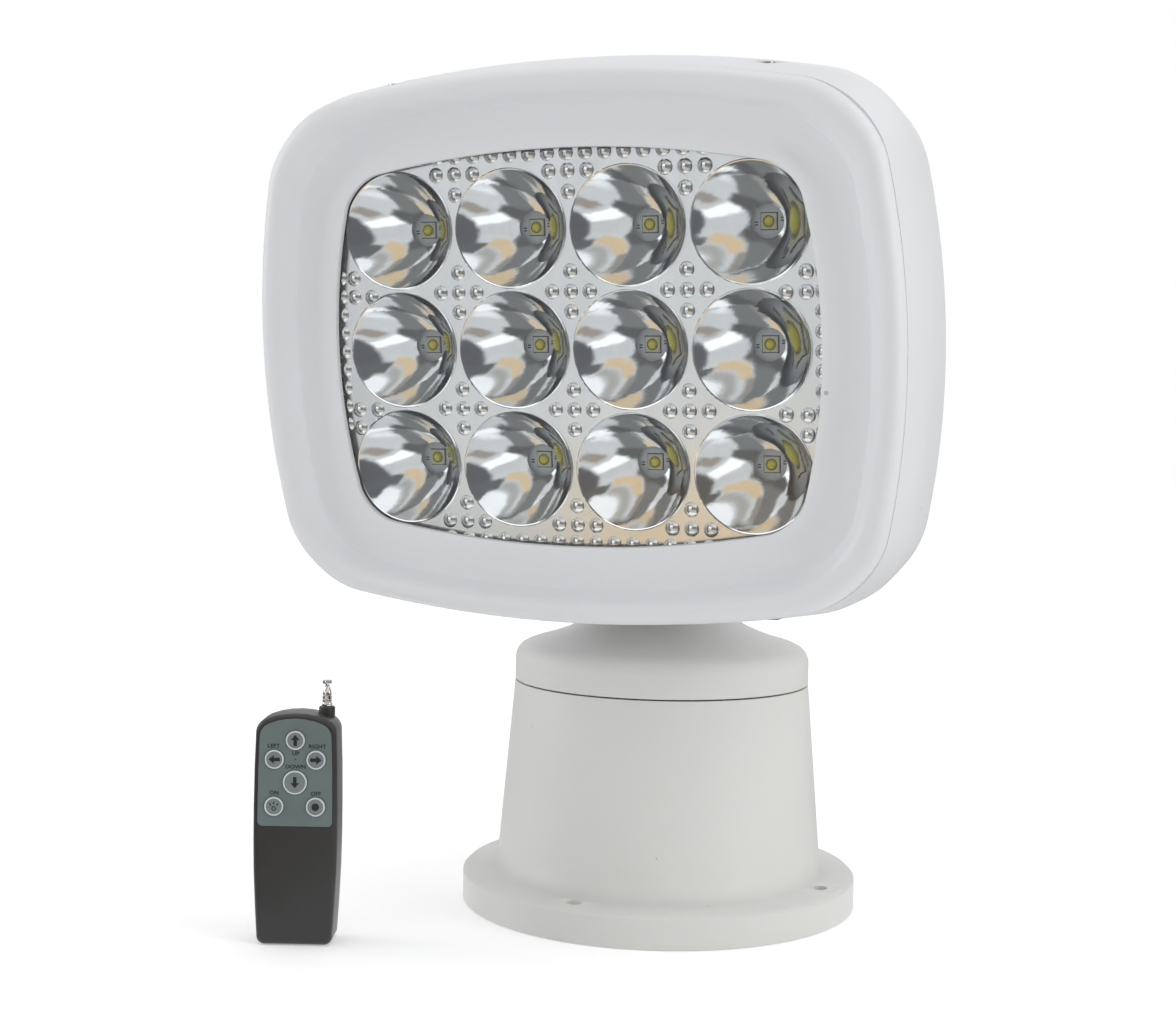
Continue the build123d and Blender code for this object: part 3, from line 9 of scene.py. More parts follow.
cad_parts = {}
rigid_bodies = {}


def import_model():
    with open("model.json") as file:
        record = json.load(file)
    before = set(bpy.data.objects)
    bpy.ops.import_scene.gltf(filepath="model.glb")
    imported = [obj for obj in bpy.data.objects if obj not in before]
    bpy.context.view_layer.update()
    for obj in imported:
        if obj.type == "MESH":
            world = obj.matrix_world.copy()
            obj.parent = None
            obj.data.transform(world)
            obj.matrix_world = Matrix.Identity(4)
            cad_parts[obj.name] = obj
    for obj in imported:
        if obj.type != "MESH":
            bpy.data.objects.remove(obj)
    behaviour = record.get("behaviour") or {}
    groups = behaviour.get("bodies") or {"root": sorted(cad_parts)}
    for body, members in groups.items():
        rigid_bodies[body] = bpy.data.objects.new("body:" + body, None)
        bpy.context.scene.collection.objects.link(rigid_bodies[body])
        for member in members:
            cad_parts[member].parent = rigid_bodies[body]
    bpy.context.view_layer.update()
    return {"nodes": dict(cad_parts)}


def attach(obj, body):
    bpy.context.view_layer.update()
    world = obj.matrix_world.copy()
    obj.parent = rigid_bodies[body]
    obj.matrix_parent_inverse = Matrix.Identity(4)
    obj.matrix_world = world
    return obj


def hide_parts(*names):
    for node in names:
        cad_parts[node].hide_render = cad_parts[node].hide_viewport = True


for leftover in list(bpy.data.objects):
    bpy.data.objects.remove(leftover)

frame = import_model()
nodes = frame["nodes"]

MM = 0.001

# Lamp head: the tilt axle, the lean in the photo, and the reflector's face ahead of and above the axle
TILT_AXIS = Vector((0, 0, 133.0))
LEAN = radians(7.5)
FORWARD = Vector((0, -cos(LEAN), -sin(LEAN)))
UPWARD = Vector((0, -sin(LEAN), cos(LEAN)))
FACE_AHEAD = 78.2
FACE_ABOVE = 47.1
FACE_CENTRE = TILT_AXIS + FORWARD * FACE_AHEAD + UPWARD * FACE_ABOVE

# The head's outline, half across and half up: its straight frame, the bow of its sides, and both together
FRAME_HALF = (83.3, 65.2)
SIDE_BOW = (9.1, 9.7)
LIP = (92.4, 74.9)
OUTLINE_CORNER = 17.5
WINDOW_CORNER = 11.0

# Cups and LEDs
CUP_PITCH = (33.7, 33.0)
CUP_MOUTH = 15.45
CUP_STEP = 0.4933
CUP_FLOOR = -19.276
CUP_CURVE = 12.625
STUD_BALL = 2.95
STUD_CUT = 2.0
STUD_SINK = 2.05
STUD_PITCH = 5.45
SIDE_STUD_PITCH = 5.2
PACKAGE_MIDDLE = -19.25
DOME_FOOT = -18.9
# Height of the dark plate under each LED package, which paints the shadow round the package's edge
PAINTED_SHADOW_FRAME = -19.56
SOLDER_PAD = -19.55

# Handset: its turn and place on the floor, half its width, its middle, and the heights of its faces
HAND_TURN = radians(20)
HAND_RIGHT = Vector((cos(HAND_TURN), sin(HAND_TURN), 0))
HAND_OUT = Vector((sin(HAND_TURN), -cos(HAND_TURN), 0))
HAND_PLACE = Vector((-79.0, -90.6, 0))
HAND_HALF = 11.95
HAND_MIDDLE = 33.1
HAND_SHOULDER = 63.0
LABEL_FOOT = 34.0
LABEL_INSET = 1.25
LABEL_FACE = 6.25
KEY_FACE = 6.8
SIGN_FACE = 6.83
AERIAL_PLACE = HAND_PLACE + HAND_RIGHT * 7.5 - HAND_OUT * 2.4


def placed(across, up, out, origin):
    """Matrix that takes a piece's own millimetres to the frame's metres."""
    turn = Matrix((across, up, out)).transposed().to_4x4()
    return Matrix.Scale(MM, 4) @ Matrix.Translation(origin) @ turn


UPRIGHT = placed(Vector((1, 0, 0)), Vector((0, 1, 0)), Vector((0, 0, 1)), Vector((0, 0, 0)))
HEAD = placed(Vector((1, 0, 0)), UPWARD, FORWARD, FACE_CENTRE)
HANDSET = placed(HAND_RIGHT, Vector((0, 0, 1)), HAND_OUT, HAND_PLACE)
AERIAL = placed(HAND_RIGHT, HAND_OUT * -1, Vector((0, 0, 1)), AERIAL_PLACE)


# Shader helpers


def add_node(tree, kind, **settings):
    """A shader node with its settings."""
    node = tree.nodes.new(kind)
    for name, value in settings.items():
        setattr(node, name, value)
    return node


def effect_group(name, inputs, outputs):
    """An empty node group with its named sockets, and its two ends."""
    tree = bpy.data.node_groups.new(name, "ShaderNodeTree")
    for label, kind, value in inputs:
        socket = tree.interface.new_socket(label, in_out="INPUT", socket_type="NodeSocket" + kind)
        socket.default_value = value
    for label, kind in outputs:
        tree.interface.new_socket(label, in_out="OUTPUT", socket_type="NodeSocket" + kind)
    return tree, tree.nodes.new("NodeGroupInput"), tree.nodes.new("NodeGroupOutput")


def link_or_set(tree, socket, value):
    """Feed a socket by another one, or give it a plain number."""
    if isinstance(value, (int, float)):
        socket.default_value = value
    else:
        tree.links.new(value, socket)


def maths(tree, operation, *values, clamp=False):
    """Output of a maths node fed by sockets or plain numbers."""
    node = add_node(tree, "ShaderNodeMath", operation=operation, use_clamp=clamp)
    for socket, value in zip(node.inputs, values):
        link_or_set(tree, socket, value)
    return node.outputs[0]


def noise(tree, place, scale, detail=2.0, roughness=0.5):
    """Output of a noise texture at a scale."""
    node = add_node(tree, "ShaderNodeTexNoise")
    node.inputs["Detail"].default_value = detail
    node.inputs["Roughness"].default_value = roughness
    tree.links.new(place, node.inputs["Vector"])
    link_or_set(tree, node.inputs["Scale"], scale)
    return node.outputs[0]


def ramp(tree, value, low, high, first=0.0, last=1.0, smooth=False):
    """A value's place between low and high, as a number between first and last."""
    node = add_node(tree, "ShaderNodeMapRange", interpolation_type="SMOOTHSTEP" if smooth else "LINEAR")
    tree.links.new(value, node.inputs["Value"])
    for name, limit in (("From Min", low), ("From Max", high), ("To Min", first), ("To Max", last)):
        link_or_set(tree, node.inputs[name], limit)
    return node.outputs[0]


def mixed_colour(tree, mask, first, second):
    """Colour between two others, each a socket or a plain colour."""
    node = add_node(tree, "ShaderNodeMix", data_type="RGBA")
    tree.links.new(mask, node.inputs["Factor"])
    for socket, colour in ((node.inputs[6], first), (node.inputs[7], second)):
        if isinstance(colour, tuple):
            socket.default_value = colour
        else:
            tree.links.new(colour, socket)
    return node.outputs[2]


def toned(tree, colour, darkest, mask):
    """Colour darkened towards its darkest tone where a noise is low."""
    scaled = add_node(tree, "ShaderNodeVectorMath", operation="SCALE")
    tree.links.new(colour, scaled.inputs[0])
    tree.links.new(ramp(tree, mask, 0.3, 0.7, darkest, 1.0), scaled.inputs["Scale"])
    return scaled.outputs[0]


def spread_roughness(tree, ends, mask):
    """The group's roughness, spread both ways by a noise."""
    shift = maths(tree, "SUBTRACT", mask, 0.5)
    return maths(tree, "MULTIPLY_ADD", shift, ends.outputs["Roughness Spread"], ends.outputs["Roughness"], clamp=True)


def lay_over(tree, ends, out, cover, first_mask, second_mask):
    """Lay a cover colour on the base colour where two masks meet, by the group's amount."""
    both = maths(tree, "MULTIPLY", first_mask, second_mask)
    mask = maths(tree, "MULTIPLY", both, ends.outputs["Amount"], clamp=True)
    tree.links.new(mixed_colour(tree, mask, ends.outputs["Colour"], ends.outputs[cover]), out.inputs["Colour"])


def moulded_grain():
    """Fine moulding texture with slow changes of tone and gloss."""
    tree, ends, out = effect_group(
        "moulded_grain",
        [("Colour", "Color", (0.8, 0.8, 0.8, 1)), ("Darkest Tone", "Float", 0.94), ("Cloud Scale", "Float", 14.0),
         ("Grain Scale", "Float", 2200.0), ("Roughness", "Float", 0.45), ("Roughness Spread", "Float", 0.1)],
        [("Colour", "Color"), ("Roughness", "Float"), ("Height", "Float")],
    )
    place = add_node(tree, "ShaderNodeTexCoord").outputs["Object"]
    clouds = noise(tree, place, ends.outputs["Cloud Scale"], 5, 0.6)
    grain = noise(tree, place, ends.outputs["Grain Scale"])
    tree.links.new(toned(tree, ends.outputs["Colour"], ends.outputs["Darkest Tone"], clouds), out.inputs["Colour"])
    tree.links.new(spread_roughness(tree, ends, clouds), out.inputs["Roughness"])
    tree.links.new(grain, out.inputs["Height"])
    return tree


def handling_marks():
    """Sparse small specks, as on a lamp that has been handled."""
    tree, ends, out = effect_group(
        "handling_marks",
        [("Colour", "Color", (0.8, 0.8, 0.8, 1)), ("Mark Colour", "Color", (0.3, 0.28, 0.24, 1)),
         ("Amount", "Float", 0.5), ("Speck Scale", "Float", 55.0), ("Speck Size", "Float", 0.035)],
        [("Colour", "Color")],
    )
    place = add_node(tree, "ShaderNodeTexCoord").outputs["Object"]
    cells = add_node(tree, "ShaderNodeTexVoronoi", feature="F1")
    tree.links.new(place, cells.inputs["Vector"])
    tree.links.new(ends.outputs["Speck Scale"], cells.inputs["Scale"])
    inside = maths(tree, "LESS_THAN", cells.outputs["Distance"], ends.outputs["Speck Size"])
    rare = ramp(tree, noise(tree, place, 31), 0.5, 0.62)
    lay_over(tree, ends, out, "Mark Colour", inside, rare)
    return tree


def settled_dust():
    """Thin dust that lies on what faces up."""
    tree, ends, out = effect_group(
        "settled_dust",
        [("Colour", "Color", (0.1, 0.1, 0.1, 1)), ("Dust Colour", "Color", (0.55, 0.53, 0.5, 1)),
         ("Amount", "Float", 0.2), ("Patch Scale", "Float", 120.0)],
        [("Colour", "Color")],
    )
    place = add_node(tree, "ShaderNodeTexCoord").outputs["Object"]
    parts = add_node(tree, "ShaderNodeSeparateXYZ")
    tree.links.new(add_node(tree, "ShaderNodeNewGeometry").outputs["Normal"], parts.inputs[0])
    facing = ramp(tree, parts.outputs["Z"], 0.2, 1.0)
    lay_over(tree, ends, out, "Dust Colour", facing, noise(tree, place, ends.outputs["Patch Scale"], 6))
    return tree


def metal_streaks():
    """Drawn or turned metal: fine streaks along one direction."""
    tree, ends, out = effect_group(
        "metal_streaks",
        [("Colour", "Color", (0.7, 0.7, 0.7, 1)), ("Darkest Tone", "Float", 0.8), ("Stretch", "Vector", (1, 1, 0.05)),
         ("Streak Scale", "Float", 900.0), ("Roughness", "Float", 0.3), ("Roughness Spread", "Float", 0.15)],
        [("Colour", "Color"), ("Roughness", "Float"), ("Height", "Float")],
    )
    drawn = add_node(tree, "ShaderNodeVectorMath", operation="MULTIPLY")
    tree.links.new(add_node(tree, "ShaderNodeTexCoord").outputs["Object"], drawn.inputs[0])
    tree.links.new(ends.outputs["Stretch"], drawn.inputs[1])
    streaks = noise(tree, drawn.outputs[0], ends.outputs["Streak Scale"], 4)
    tree.links.new(toned(tree, ends.outputs["Colour"], ends.outputs["Darkest Tone"], streaks), out.inputs["Colour"])
    tree.links.new(spread_roughness(tree, ends, streaks), out.inputs["Roughness"])
    tree.links.new(streaks, out.inputs["Height"])
    return tree


GRAIN = moulded_grain()
MARKS = handling_marks()
DUST = settled_dust()
STREAKS = metal_streaks()


def empty_material(name):
    """A material with only its principled shader."""
    material = bpy.data.materials.new(name)
    material.use_nodes = True
    tree = material.node_tree
    shader = tree.nodes["Principled BSDF"]
    return material, tree, shader


def placed_group(tree, group, values):
    """A group in a material with its own values."""
    node = add_node(tree, "ShaderNodeGroup", node_tree=group)
    for name, value in values.items():
        node.inputs[name].default_value = value
    return node


def bumped(tree, shader, height, distance, strength):
    """Feed a height to the shader's normal."""
    bump = add_node(tree, "ShaderNodeBump")
    bump.inputs["Strength"].default_value = strength
    bump.inputs["Distance"].default_value = distance
    tree.links.new(height, bump.inputs["Height"])
    tree.links.new(bump.outputs["Normal"], shader.inputs["Normal"])


# How deep the textures stand in the surface, in metres
PLASTIC_RELIEF = 0.00003
METAL_RELIEF = 0.00001
REFLECTOR_RELIEF = 0.0003
PANEL_RELIEF = 0.0001


def plastic(name, colour, tone, cloud, grain, roughness, spread, relief, marks, dust):
    """Moulded plastic or rubber with grain, slow clouds, specks and dust.

    tone is how dark its clouds get, cloud and grain are scales, and relief is how far the grain stands out.
    """
    material, tree, shader = empty_material(name)
    base = placed_group(tree, GRAIN, {
        "Colour": (*colour, 1), "Darkest Tone": tone, "Cloud Scale": cloud, "Grain Scale": grain,
        "Roughness": roughness, "Roughness Spread": spread,
    })
    specks = placed_group(tree, MARKS, {"Amount": marks})
    tree.links.new(base.outputs["Colour"], specks.inputs["Colour"])
    dusty = placed_group(tree, DUST, {"Amount": dust})
    tree.links.new(specks.outputs["Colour"], dusty.inputs["Colour"])
    tree.links.new(dusty.outputs["Colour"], shader.inputs["Base Color"])
    tree.links.new(base.outputs["Roughness"], shader.inputs["Roughness"])
    shader.inputs["IOR"].default_value = 1.46
    bumped(tree, shader, base.outputs["Height"], PLASTIC_RELIEF, relief)
    return material


def metal(name, colour, tone, stretch, scale, roughness, spread, relief, dust=0.0, depth=METAL_RELIEF):
    """Metal with streaks along one direction and a little dust."""
    material, tree, shader = empty_material(name)
    base = placed_group(tree, STREAKS, {
        "Colour": (*colour, 1), "Darkest Tone": tone, "Stretch": stretch, "Streak Scale": scale,
        "Roughness": roughness, "Roughness Spread": spread,
    })
    dusty = placed_group(tree, DUST, {"Amount": dust})
    tree.links.new(base.outputs["Colour"], dusty.inputs["Colour"])
    tree.links.new(dusty.outputs["Colour"], shader.inputs["Base Color"])
    tree.links.new(base.outputs["Roughness"], shader.inputs["Roughness"])
    shader.inputs["Metallic"].default_value = 1.0
    bumped(tree, shader, base.outputs["Height"], depth, relief)
    return material


FINISH = {
    "white_shell": plastic("white_shell", (0.84, 0.85, 0.87), 0.965, 12, 2400, 0.42, 0.12, 0.12, 0.55, 0.0),
    "white_base": plastic("white_base", (0.79, 0.79, 0.765), 0.955, 11, 2000, 0.5, 0.12, 0.2, 0.6, 0.0),
    "black_plastic": plastic("black_plastic", (0.034, 0.032, 0.03), 0.8, 40, 3200, 0.4, 0.15, 0.5, 0.0, 0.12),
    "grey_label": plastic("grey_label", (0.165, 0.215, 0.21), 0.86, 60, 4000, 0.48, 0.14, 0.25, 0.3, 0.05),
    "key_face": plastic("key_face", (0.215, 0.26, 0.25), 0.88, 80, 4000, 0.42, 0.12, 0.25, 0.2, 0.05),
    "white_key": plastic("white_key", (0.72, 0.76, 0.77), 0.9, 90, 3000, 0.5, 0.1, 0.1, 0.3, 0.0),
    "printed_black": plastic("printed_black", (0.02, 0.02, 0.022), 0.75, 120, 5000, 0.55, 0.1, 0.1, 0.0, 0.0),
    "black_rubber": plastic("black_rubber", (0.025, 0.024, 0.023), 0.75, 60, 1800, 0.75, 0.15, 0.8, 0.0, 0.2),
    "grey_silicone": plastic("grey_silicone", (0.72, 0.7, 0.66), 0.85, 50, 2000, 0.6, 0.1, 0.3, 0.1, 0.0),
    "acetal": plastic("acetal", (0.74, 0.72, 0.66), 0.9, 50, 2600, 0.35, 0.1, 0.1, 0.4, 0.1),
    "circuit_green": plastic("circuit_green", (0.015, 0.13, 0.05), 0.7, 260, 900, 0.28, 0.1, 0.3, 0.0, 0.1),
    "led_collar": plastic("led_collar", (0.3, 0.27, 0.07), 0.8, 500, 3000, 0.35, 0.1, 0.1, 0.0, 0.0),
    "star_board": plastic("star_board", (0.86, 0.92, 0.99), 0.9, 160, 1500, 0.35, 0.1, 0.2, 0.5, 0.0),
    "led_package": plastic("led_package", (0.86, 0.84, 0.62), 0.88, 300, 2500, 0.4, 0.1, 0.2, 0.0, 0.0),
    "led_yellow": plastic("led_yellow", (1.0, 0.92, 0.06), 0.82, 700, 3000, 0.2, 0.1, 0.1, 0.0, 0.0),
    "component_dark": plastic("component_dark", (0.03, 0.03, 0.035), 0.7, 130, 1500, 0.4, 0.2, 0.4, 0.5, 0.15),
    "bare_aluminium": metal("bare_aluminium", (0.78, 0.79, 0.8), 0.82, (1, 0.06, 1), 1200, 0.34, 0.2, 0.4, 0.1),
    "steel": metal("steel", (0.56, 0.565, 0.57), 0.78, (1, 1, 0.08), 1400, 0.3, 0.2, 0.4, 0.06),
    "brass_part": metal("brass_part", (0.75, 0.56, 0.24), 0.8, (1, 0.1, 1), 1000, 0.28, 0.2, 0.3, 0.06),
    "chrome_rod": metal("chrome_rod", (0.8, 0.79, 0.77), 0.8, (1, 1, 3), 700, 0.1, 0.1, 0.15),
    "reflector_metal": metal(
        "reflector_metal", (0.93, 0.935, 0.94), 0.95, (1, 1, 1), 110, 0.06, 0.04, 0.3, depth=REFLECTOR_RELIEF,
    ),
    "stud_metal": metal("stud_metal", (0.84, 0.835, 0.825), 0.93, (1, 1, 1), 200, 0.15, 0.05, 0.1),
}


def panel_silver():
    """Vacuum metal on the reflector's flat face, with a painted reflection that turns it a little warmer towards its
    lower edge.
    """
    material, tree, shader = empty_material("panel_silver")
    place = add_node(tree, "ShaderNodeTexCoord").outputs["Object"]
    parts = add_node(tree, "ShaderNodeSeparateXYZ")
    tree.links.new(place, parts.inputs[0])
    height = maths(tree, "MULTIPLY_ADD", noise(tree, place, 28, 3), 0.07, parts.outputs["Z"])
    # Painted reflection: a tan tone low on the panel, standing for the table mirrored there, fades out higher up
    painted_reflection_fade = ramp(tree, height, 0.148, 0.2, smooth=True)
    silver_and_painted_reflection = mixed_colour(tree, painted_reflection_fade, (0.9, 0.88, 0.85, 1), (0.93, 0.935, 0.94, 1))
    streaks = placed_group(tree, STREAKS, {
        "Darkest Tone": 0.9, "Stretch": (1, 1, 0.3), "Streak Scale": 90, "Roughness": 0.2, "Roughness Spread": 0.12,
    })
    tree.links.new(silver_and_painted_reflection, streaks.inputs["Colour"])
    tree.links.new(streaks.outputs["Colour"], shader.inputs["Base Color"])
    tree.links.new(streaks.outputs["Roughness"], shader.inputs["Roughness"])
    shader.inputs["Metallic"].default_value = 1.0
    bumped(tree, shader, streaks.outputs["Height"], PANEL_RELIEF, 0.15)
    return material


def lens_clear():
    """Clear lens that lets the lamps' light through and keeps a faint smear on its gloss."""
    material, tree, shader = empty_material("clear_lens")
    shader.inputs["Base Color"].default_value = (0.97, 0.985, 0.985, 1)
    shader.inputs["Transmission Weight"].default_value = 1.0
    shader.inputs["IOR"].default_value = 1.45
    smear = placed_group(tree, GRAIN, {
        "Cloud Scale": 18, "Grain Scale": 300, "Roughness": 0.012, "Roughness Spread": 0.02,
    })
    tree.links.new(smear.outputs["Roughness"], shader.inputs["Roughness"])
    path = add_node(tree, "ShaderNodeLightPath")
    clear = add_node(tree, "ShaderNodeBsdfTransparent")
    mixed = add_node(tree, "ShaderNodeMixShader")
    tree.links.new(path.outputs["Is Shadow Ray"], mixed.inputs[0])
    tree.links.new(shader.outputs[0], mixed.inputs[1])
    tree.links.new(clear.outputs[0], mixed.inputs[2])
    tree.links.new(mixed.outputs[0], tree.nodes["Material Output"].inputs["Surface"])
    return material


FINISH["panel_silver"] = panel_silver()
FINISH["clear_lens"] = lens_clear()


# Mesh helpers


def finish_piece(name, bm, place, body, finish, replaces=(), crease=32, tidy=True):
    """Place a mesh in the frame, give it its finish and set it on its body."""
    bmesh.ops.transform(bm, matrix=place, verts=bm.verts)
    if tidy:
        bmesh.ops.remove_doubles(bm, verts=bm.verts, dist=1e-6)
        bmesh.ops.recalc_face_normals(bm, faces=bm.faces)
    mesh = bpy.data.meshes.new(name)
    bm.to_mesh(mesh)
    bm.free()
    mesh.shade_smooth()
    mesh.set_sharp_from_angle(angle=radians(crease))
    mesh.materials.append(FINISH[finish])
    piece = bpy.data.objects.new(name, mesh)
    bpy.context.scene.collection.objects.link(piece)
    if replaces:
        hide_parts(*replaces)
    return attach(piece, body)


def shape_verts(geometry):
    return [part for part in geometry if isinstance(part, bmesh.types.BMVert)]


def shape_edges(geometry):
    return [part for part in geometry if isinstance(part, bmesh.types.BMEdge)]


def chain(bm, points):
    """A line of edges through given points."""
    verts = [bm.verts.new(point) for point in points]
    edges = [bm.edges.new(pair) for pair in zip(verts, verts[1:])]
    return verts, edges


def turned(bm, profile, steps=64, centre=(0, 0)):
    """Turn a profile of (radius, height) points round an upright axis."""
    verts, edges = chain(bm, [(radius + centre[0], centre[1], height) for radius, height in profile])
    bmesh.ops.spin(
        bm, geom=verts + edges, cent=(centre[0], centre[1], 0), axis=(0, 0, 1), dvec=(0, 0, 0),
        angle=2 * pi, steps=steps, use_merge=True, use_duplicate=False,
    )


def lamp_outline(bm, half_width, half_height, depth, corner=OUTLINE_CORNER):
    """Ring of edges in the lamp's outline: rounded corners and sides that bow outwards."""
    made = bmesh.ops.create_grid(bm, x_segments=1, y_segments=1, size=1)
    bmesh.ops.scale(bm, vec=(*FRAME_HALF, 1), verts=made["verts"])
    bmesh.ops.bevel(
        bm, geom=made["verts"], offset=corner, offset_type="OFFSET", segments=10, profile=0.5,
        affect="VERTICES", material=-1,
    )
    straight = [edge for edge in bm.edges if edge.calc_length() > 40]
    bmesh.ops.subdivide_edges(bm, edges=straight, cuts=15)
    bmesh.ops.delete(bm, geom=bm.faces[:], context="FACES_ONLY")
    for vert in bm.verts:
        x, y = vert.co.x, vert.co.y
        vert.co.x = x * (1 + SIDE_BOW[0] / FRAME_HALF[0] * (1 - (y / FRAME_HALF[1]) ** 2))
        vert.co.y = y * (1 + SIDE_BOW[1] / FRAME_HALF[1] * (1 - (x / FRAME_HALF[0]) ** 2))
    bmesh.ops.scale(bm, vec=(half_width / LIP[0], half_height / LIP[1], 1), verts=bm.verts)
    bmesh.ops.translate(bm, vec=(0, 0, depth), verts=bm.verts)
    return bm.edges[:]


def lamp_band(bm, steps, corner=OUTLINE_CORNER):
    """Faces through a run of steps in the lamp's outline; gives the first and last rings."""
    part = bmesh.new()
    lamp_outline(part, *steps[0], corner)
    mesh = bpy.data.meshes.new("working")
    part.to_mesh(mesh)
    part.free()
    before = set(bm.edges)
    bm.from_mesh(mesh)
    first = [edge for edge in bm.edges if edge not in before]
    return first, carry_ring(bm, first, steps)


def carry_ring(bm, ring, steps):
    """Carry a ring of edges through (half width, half height, depth) steps with faces between them."""
    width, height, depth = steps[0]
    for next_width, next_height, next_depth in steps[1:]:
        made = bmesh.ops.extrude_edge_only(bm, edges=ring)["geom"]
        verts, ring = shape_verts(made), shape_edges(made)
        bmesh.ops.scale(bm, vec=(next_width / width, next_height / height, 1), verts=verts)
        bmesh.ops.translate(bm, vec=(0, 0, next_depth - depth), verts=verts)
        width, height, depth = next_width, next_height, next_depth
    return ring


def block(bm, centre, size):
    """Plain block about a centre."""
    spot = Matrix.Translation(centre) @ Matrix.Diagonal((*size, 1))
    bmesh.ops.create_cube(bm, size=1, matrix=spot)


def repeat_at(bm, places):
    """What the mesh holds, once at every place."""
    first = bm.verts[:] + bm.edges[:] + bm.faces[:]
    for across, up in places[1:]:
        made = bmesh.ops.duplicate(bm, geom=first)["geom"]
        bmesh.ops.translate(bm, vec=(across - places[0][0], up - places[0][1], 0), verts=shape_verts(made))
    bmesh.ops.translate(bm, vec=(*places[0], 0), verts=bm.verts)


def rod(bm, radius, bottom, top, place, segments=24):
    """Upright closed rod between two heights."""
    bmesh.ops.create_cone(
        bm, cap_ends=True, segments=segments, radius1=radius, radius2=radius, depth=top - bottom,
        matrix=Matrix.Translation((place[0], place[1], (top + bottom) / 2)),
    )


def cut(piece_mesh, cutter_mesh):
    """The first mesh with the second taken out of it, as a new bmesh."""
    solid = bpy.data.objects.new("solid", piece_mesh)
    tool = bpy.data.objects.new("tool", cutter_mesh)
    for item in (solid, tool):
        bpy.context.scene.collection.objects.link(item)
    step = solid.modifiers.new("cut", "BOOLEAN")
    step.operation = "DIFFERENCE"
    step.solver = "EXACT"
    step.object = tool
    shown = solid.evaluated_get(bpy.context.evaluated_depsgraph_get())
    result = bmesh.new()
    result.from_mesh(shown.to_mesh())
    for item in (solid, tool):
        bpy.data.objects.remove(item)
    return result


def as_mesh(bm):
    """A plain mesh from a bmesh, with outward faces."""
    bmesh.ops.remove_doubles(bm, verts=bm.verts, dist=1e-4)
    bmesh.ops.recalc_face_normals(bm, faces=bm.faces)
    mesh = bpy.data.meshes.new("working")
    bm.to_mesh(mesh)
    bm.free()
    return mesh


def smooth_copy(node, name, body, finish, crease=30):
    """A CAD node's own shape, merged and shaded smoothly, standing for the node."""
    bm = bmesh.new()
    bm.from_mesh(nodes[node].data)
    bmesh.ops.remove_doubles(bm, verts=bm.verts, dist=1e-6)
    return finish_piece(name, bm, Matrix.Identity(4), body, finish, (node,), crease, tidy=False)


# Base and turret

smooth_copy("base_housing", "base_housing_shell", "base", "white_base")
smooth_copy("neck_drum", "neck_column", "turret", "white_base")

bm = bmesh.new()
turned(bm, [
    (45.9, 69.4), (46.25, 69.5), (46.4, 69.85), (46.4, 73.0), (46.4, 76.2), (46.15, 77.7), (45.5, 79.1),
    (44.3, 80.3), (42.6, 81.2), (40.5, 81.95), (36.0, 83.2), (31.2, 84.9), (27.0, 86.8), (23.4, 88.8),
    (21.2, 90.2), (20.4, 90.95), (20.4, 76.3), (12.0, 76.3), (12.0, 73.3), (22.9, 73.3), (22.9, 85.8),
    (31.2, 82.2), (40.4, 79.0), (43.9, 76.0), (43.9, 69.4), (45.9, 69.4),
], steps=96)
finish_piece("turret_cap_skin", bm, UPRIGHT, "turret", "white_base", ("turret_cap",))

# Head: rear shell and bezel

smooth_copy("rear_shell", "rear_shell_skin", "head", "white_shell", 28)

bm = bmesh.new()
window_steps = [
    (75.4, 59.3, 0.3), (75.4, 59.3, 2.4), (70.0, 53.9, 2.4), (70.0, 53.9, 3.5), (70.15, 54.05, 3.85),
    (70.6, 54.5, 4.05), (71.6, 55.5, 4.1), (73.2, 57.1, 4.0),
]
lip_steps = [
    (75.0, 58.7, 3.75), (76.6, 60.2, 3.4), (78.0, 61.5, 3.2), (79.6, 62.9, 3.12), (81.2, 64.4, 3.15),
    (82.3, 65.3, 3.25), (82.9, 65.9, 3.5), (83.3, 66.3, 4.1), (83.7, 66.6, 5.0), (84.2, 67.1, 6.2),
    (84.8, 67.6, 7.3), (85.5, 68.2, 8.2), (86.4, 69.0, 8.9), (87.5, 70.0, 9.3), (88.8, 71.3, 9.42),
    (90.1, 72.6, 9.1), (91.2, 73.7, 8.3), (92.0, 74.5, 7.0), (92.35, 74.85, 5.8), (92.3, 74.8, 5.45),
    (91.7, 74.2, 5.05), (89.5, 72.0, 5.0), (89.5, 72.0, -14.0), (86.8, 69.3, -14.0), (86.8, 69.3, 0.3),
]
window_first, window_last = lamp_band(bm, window_steps, WINDOW_CORNER)
lip_first, lip_last = lamp_band(bm, lip_steps)
bmesh.ops.bridge_loops(bm, edges=window_last + lip_first)
bmesh.ops.bridge_loops(bm, edges=lip_last + window_first)
for across in (82.5, -82.5):
    for up in (25.0, -25.0):
        rod(bm, 3.5, -21.2, 1.0, (across, up))
finish_piece("bezel_skin", bm, HEAD, "head", "white_shell", ("bezel",))

# Reflector: panel, cups with a raised rim, and studs

CUPS = [(CUP_PITCH[0] * (column - 1.5), CUP_PITCH[1] * (row - 1)) for column in range(4) for row in range(3)]

bm = bmesh.new()
panel_steps = [(76.2, 60.1, 0.0), (76.2, 60.1, -2.5)]
ring = lamp_outline(bm, *panel_steps[0])
bmesh.ops.edgeloop_fill(bm, edges=ring)
ring = carry_ring(bm, ring, panel_steps)
bmesh.ops.edgeloop_fill(bm, edges=ring)
panel = as_mesh(bm)
bm = bmesh.new()
for place in CUPS:
    rod(bm, 16.0, -5.0, 5.0, place, 64)
bm = cut(panel, as_mesh(bm))
finish_piece("reflector_panel", bm, HEAD, "head", "panel_silver", ("reflector",))

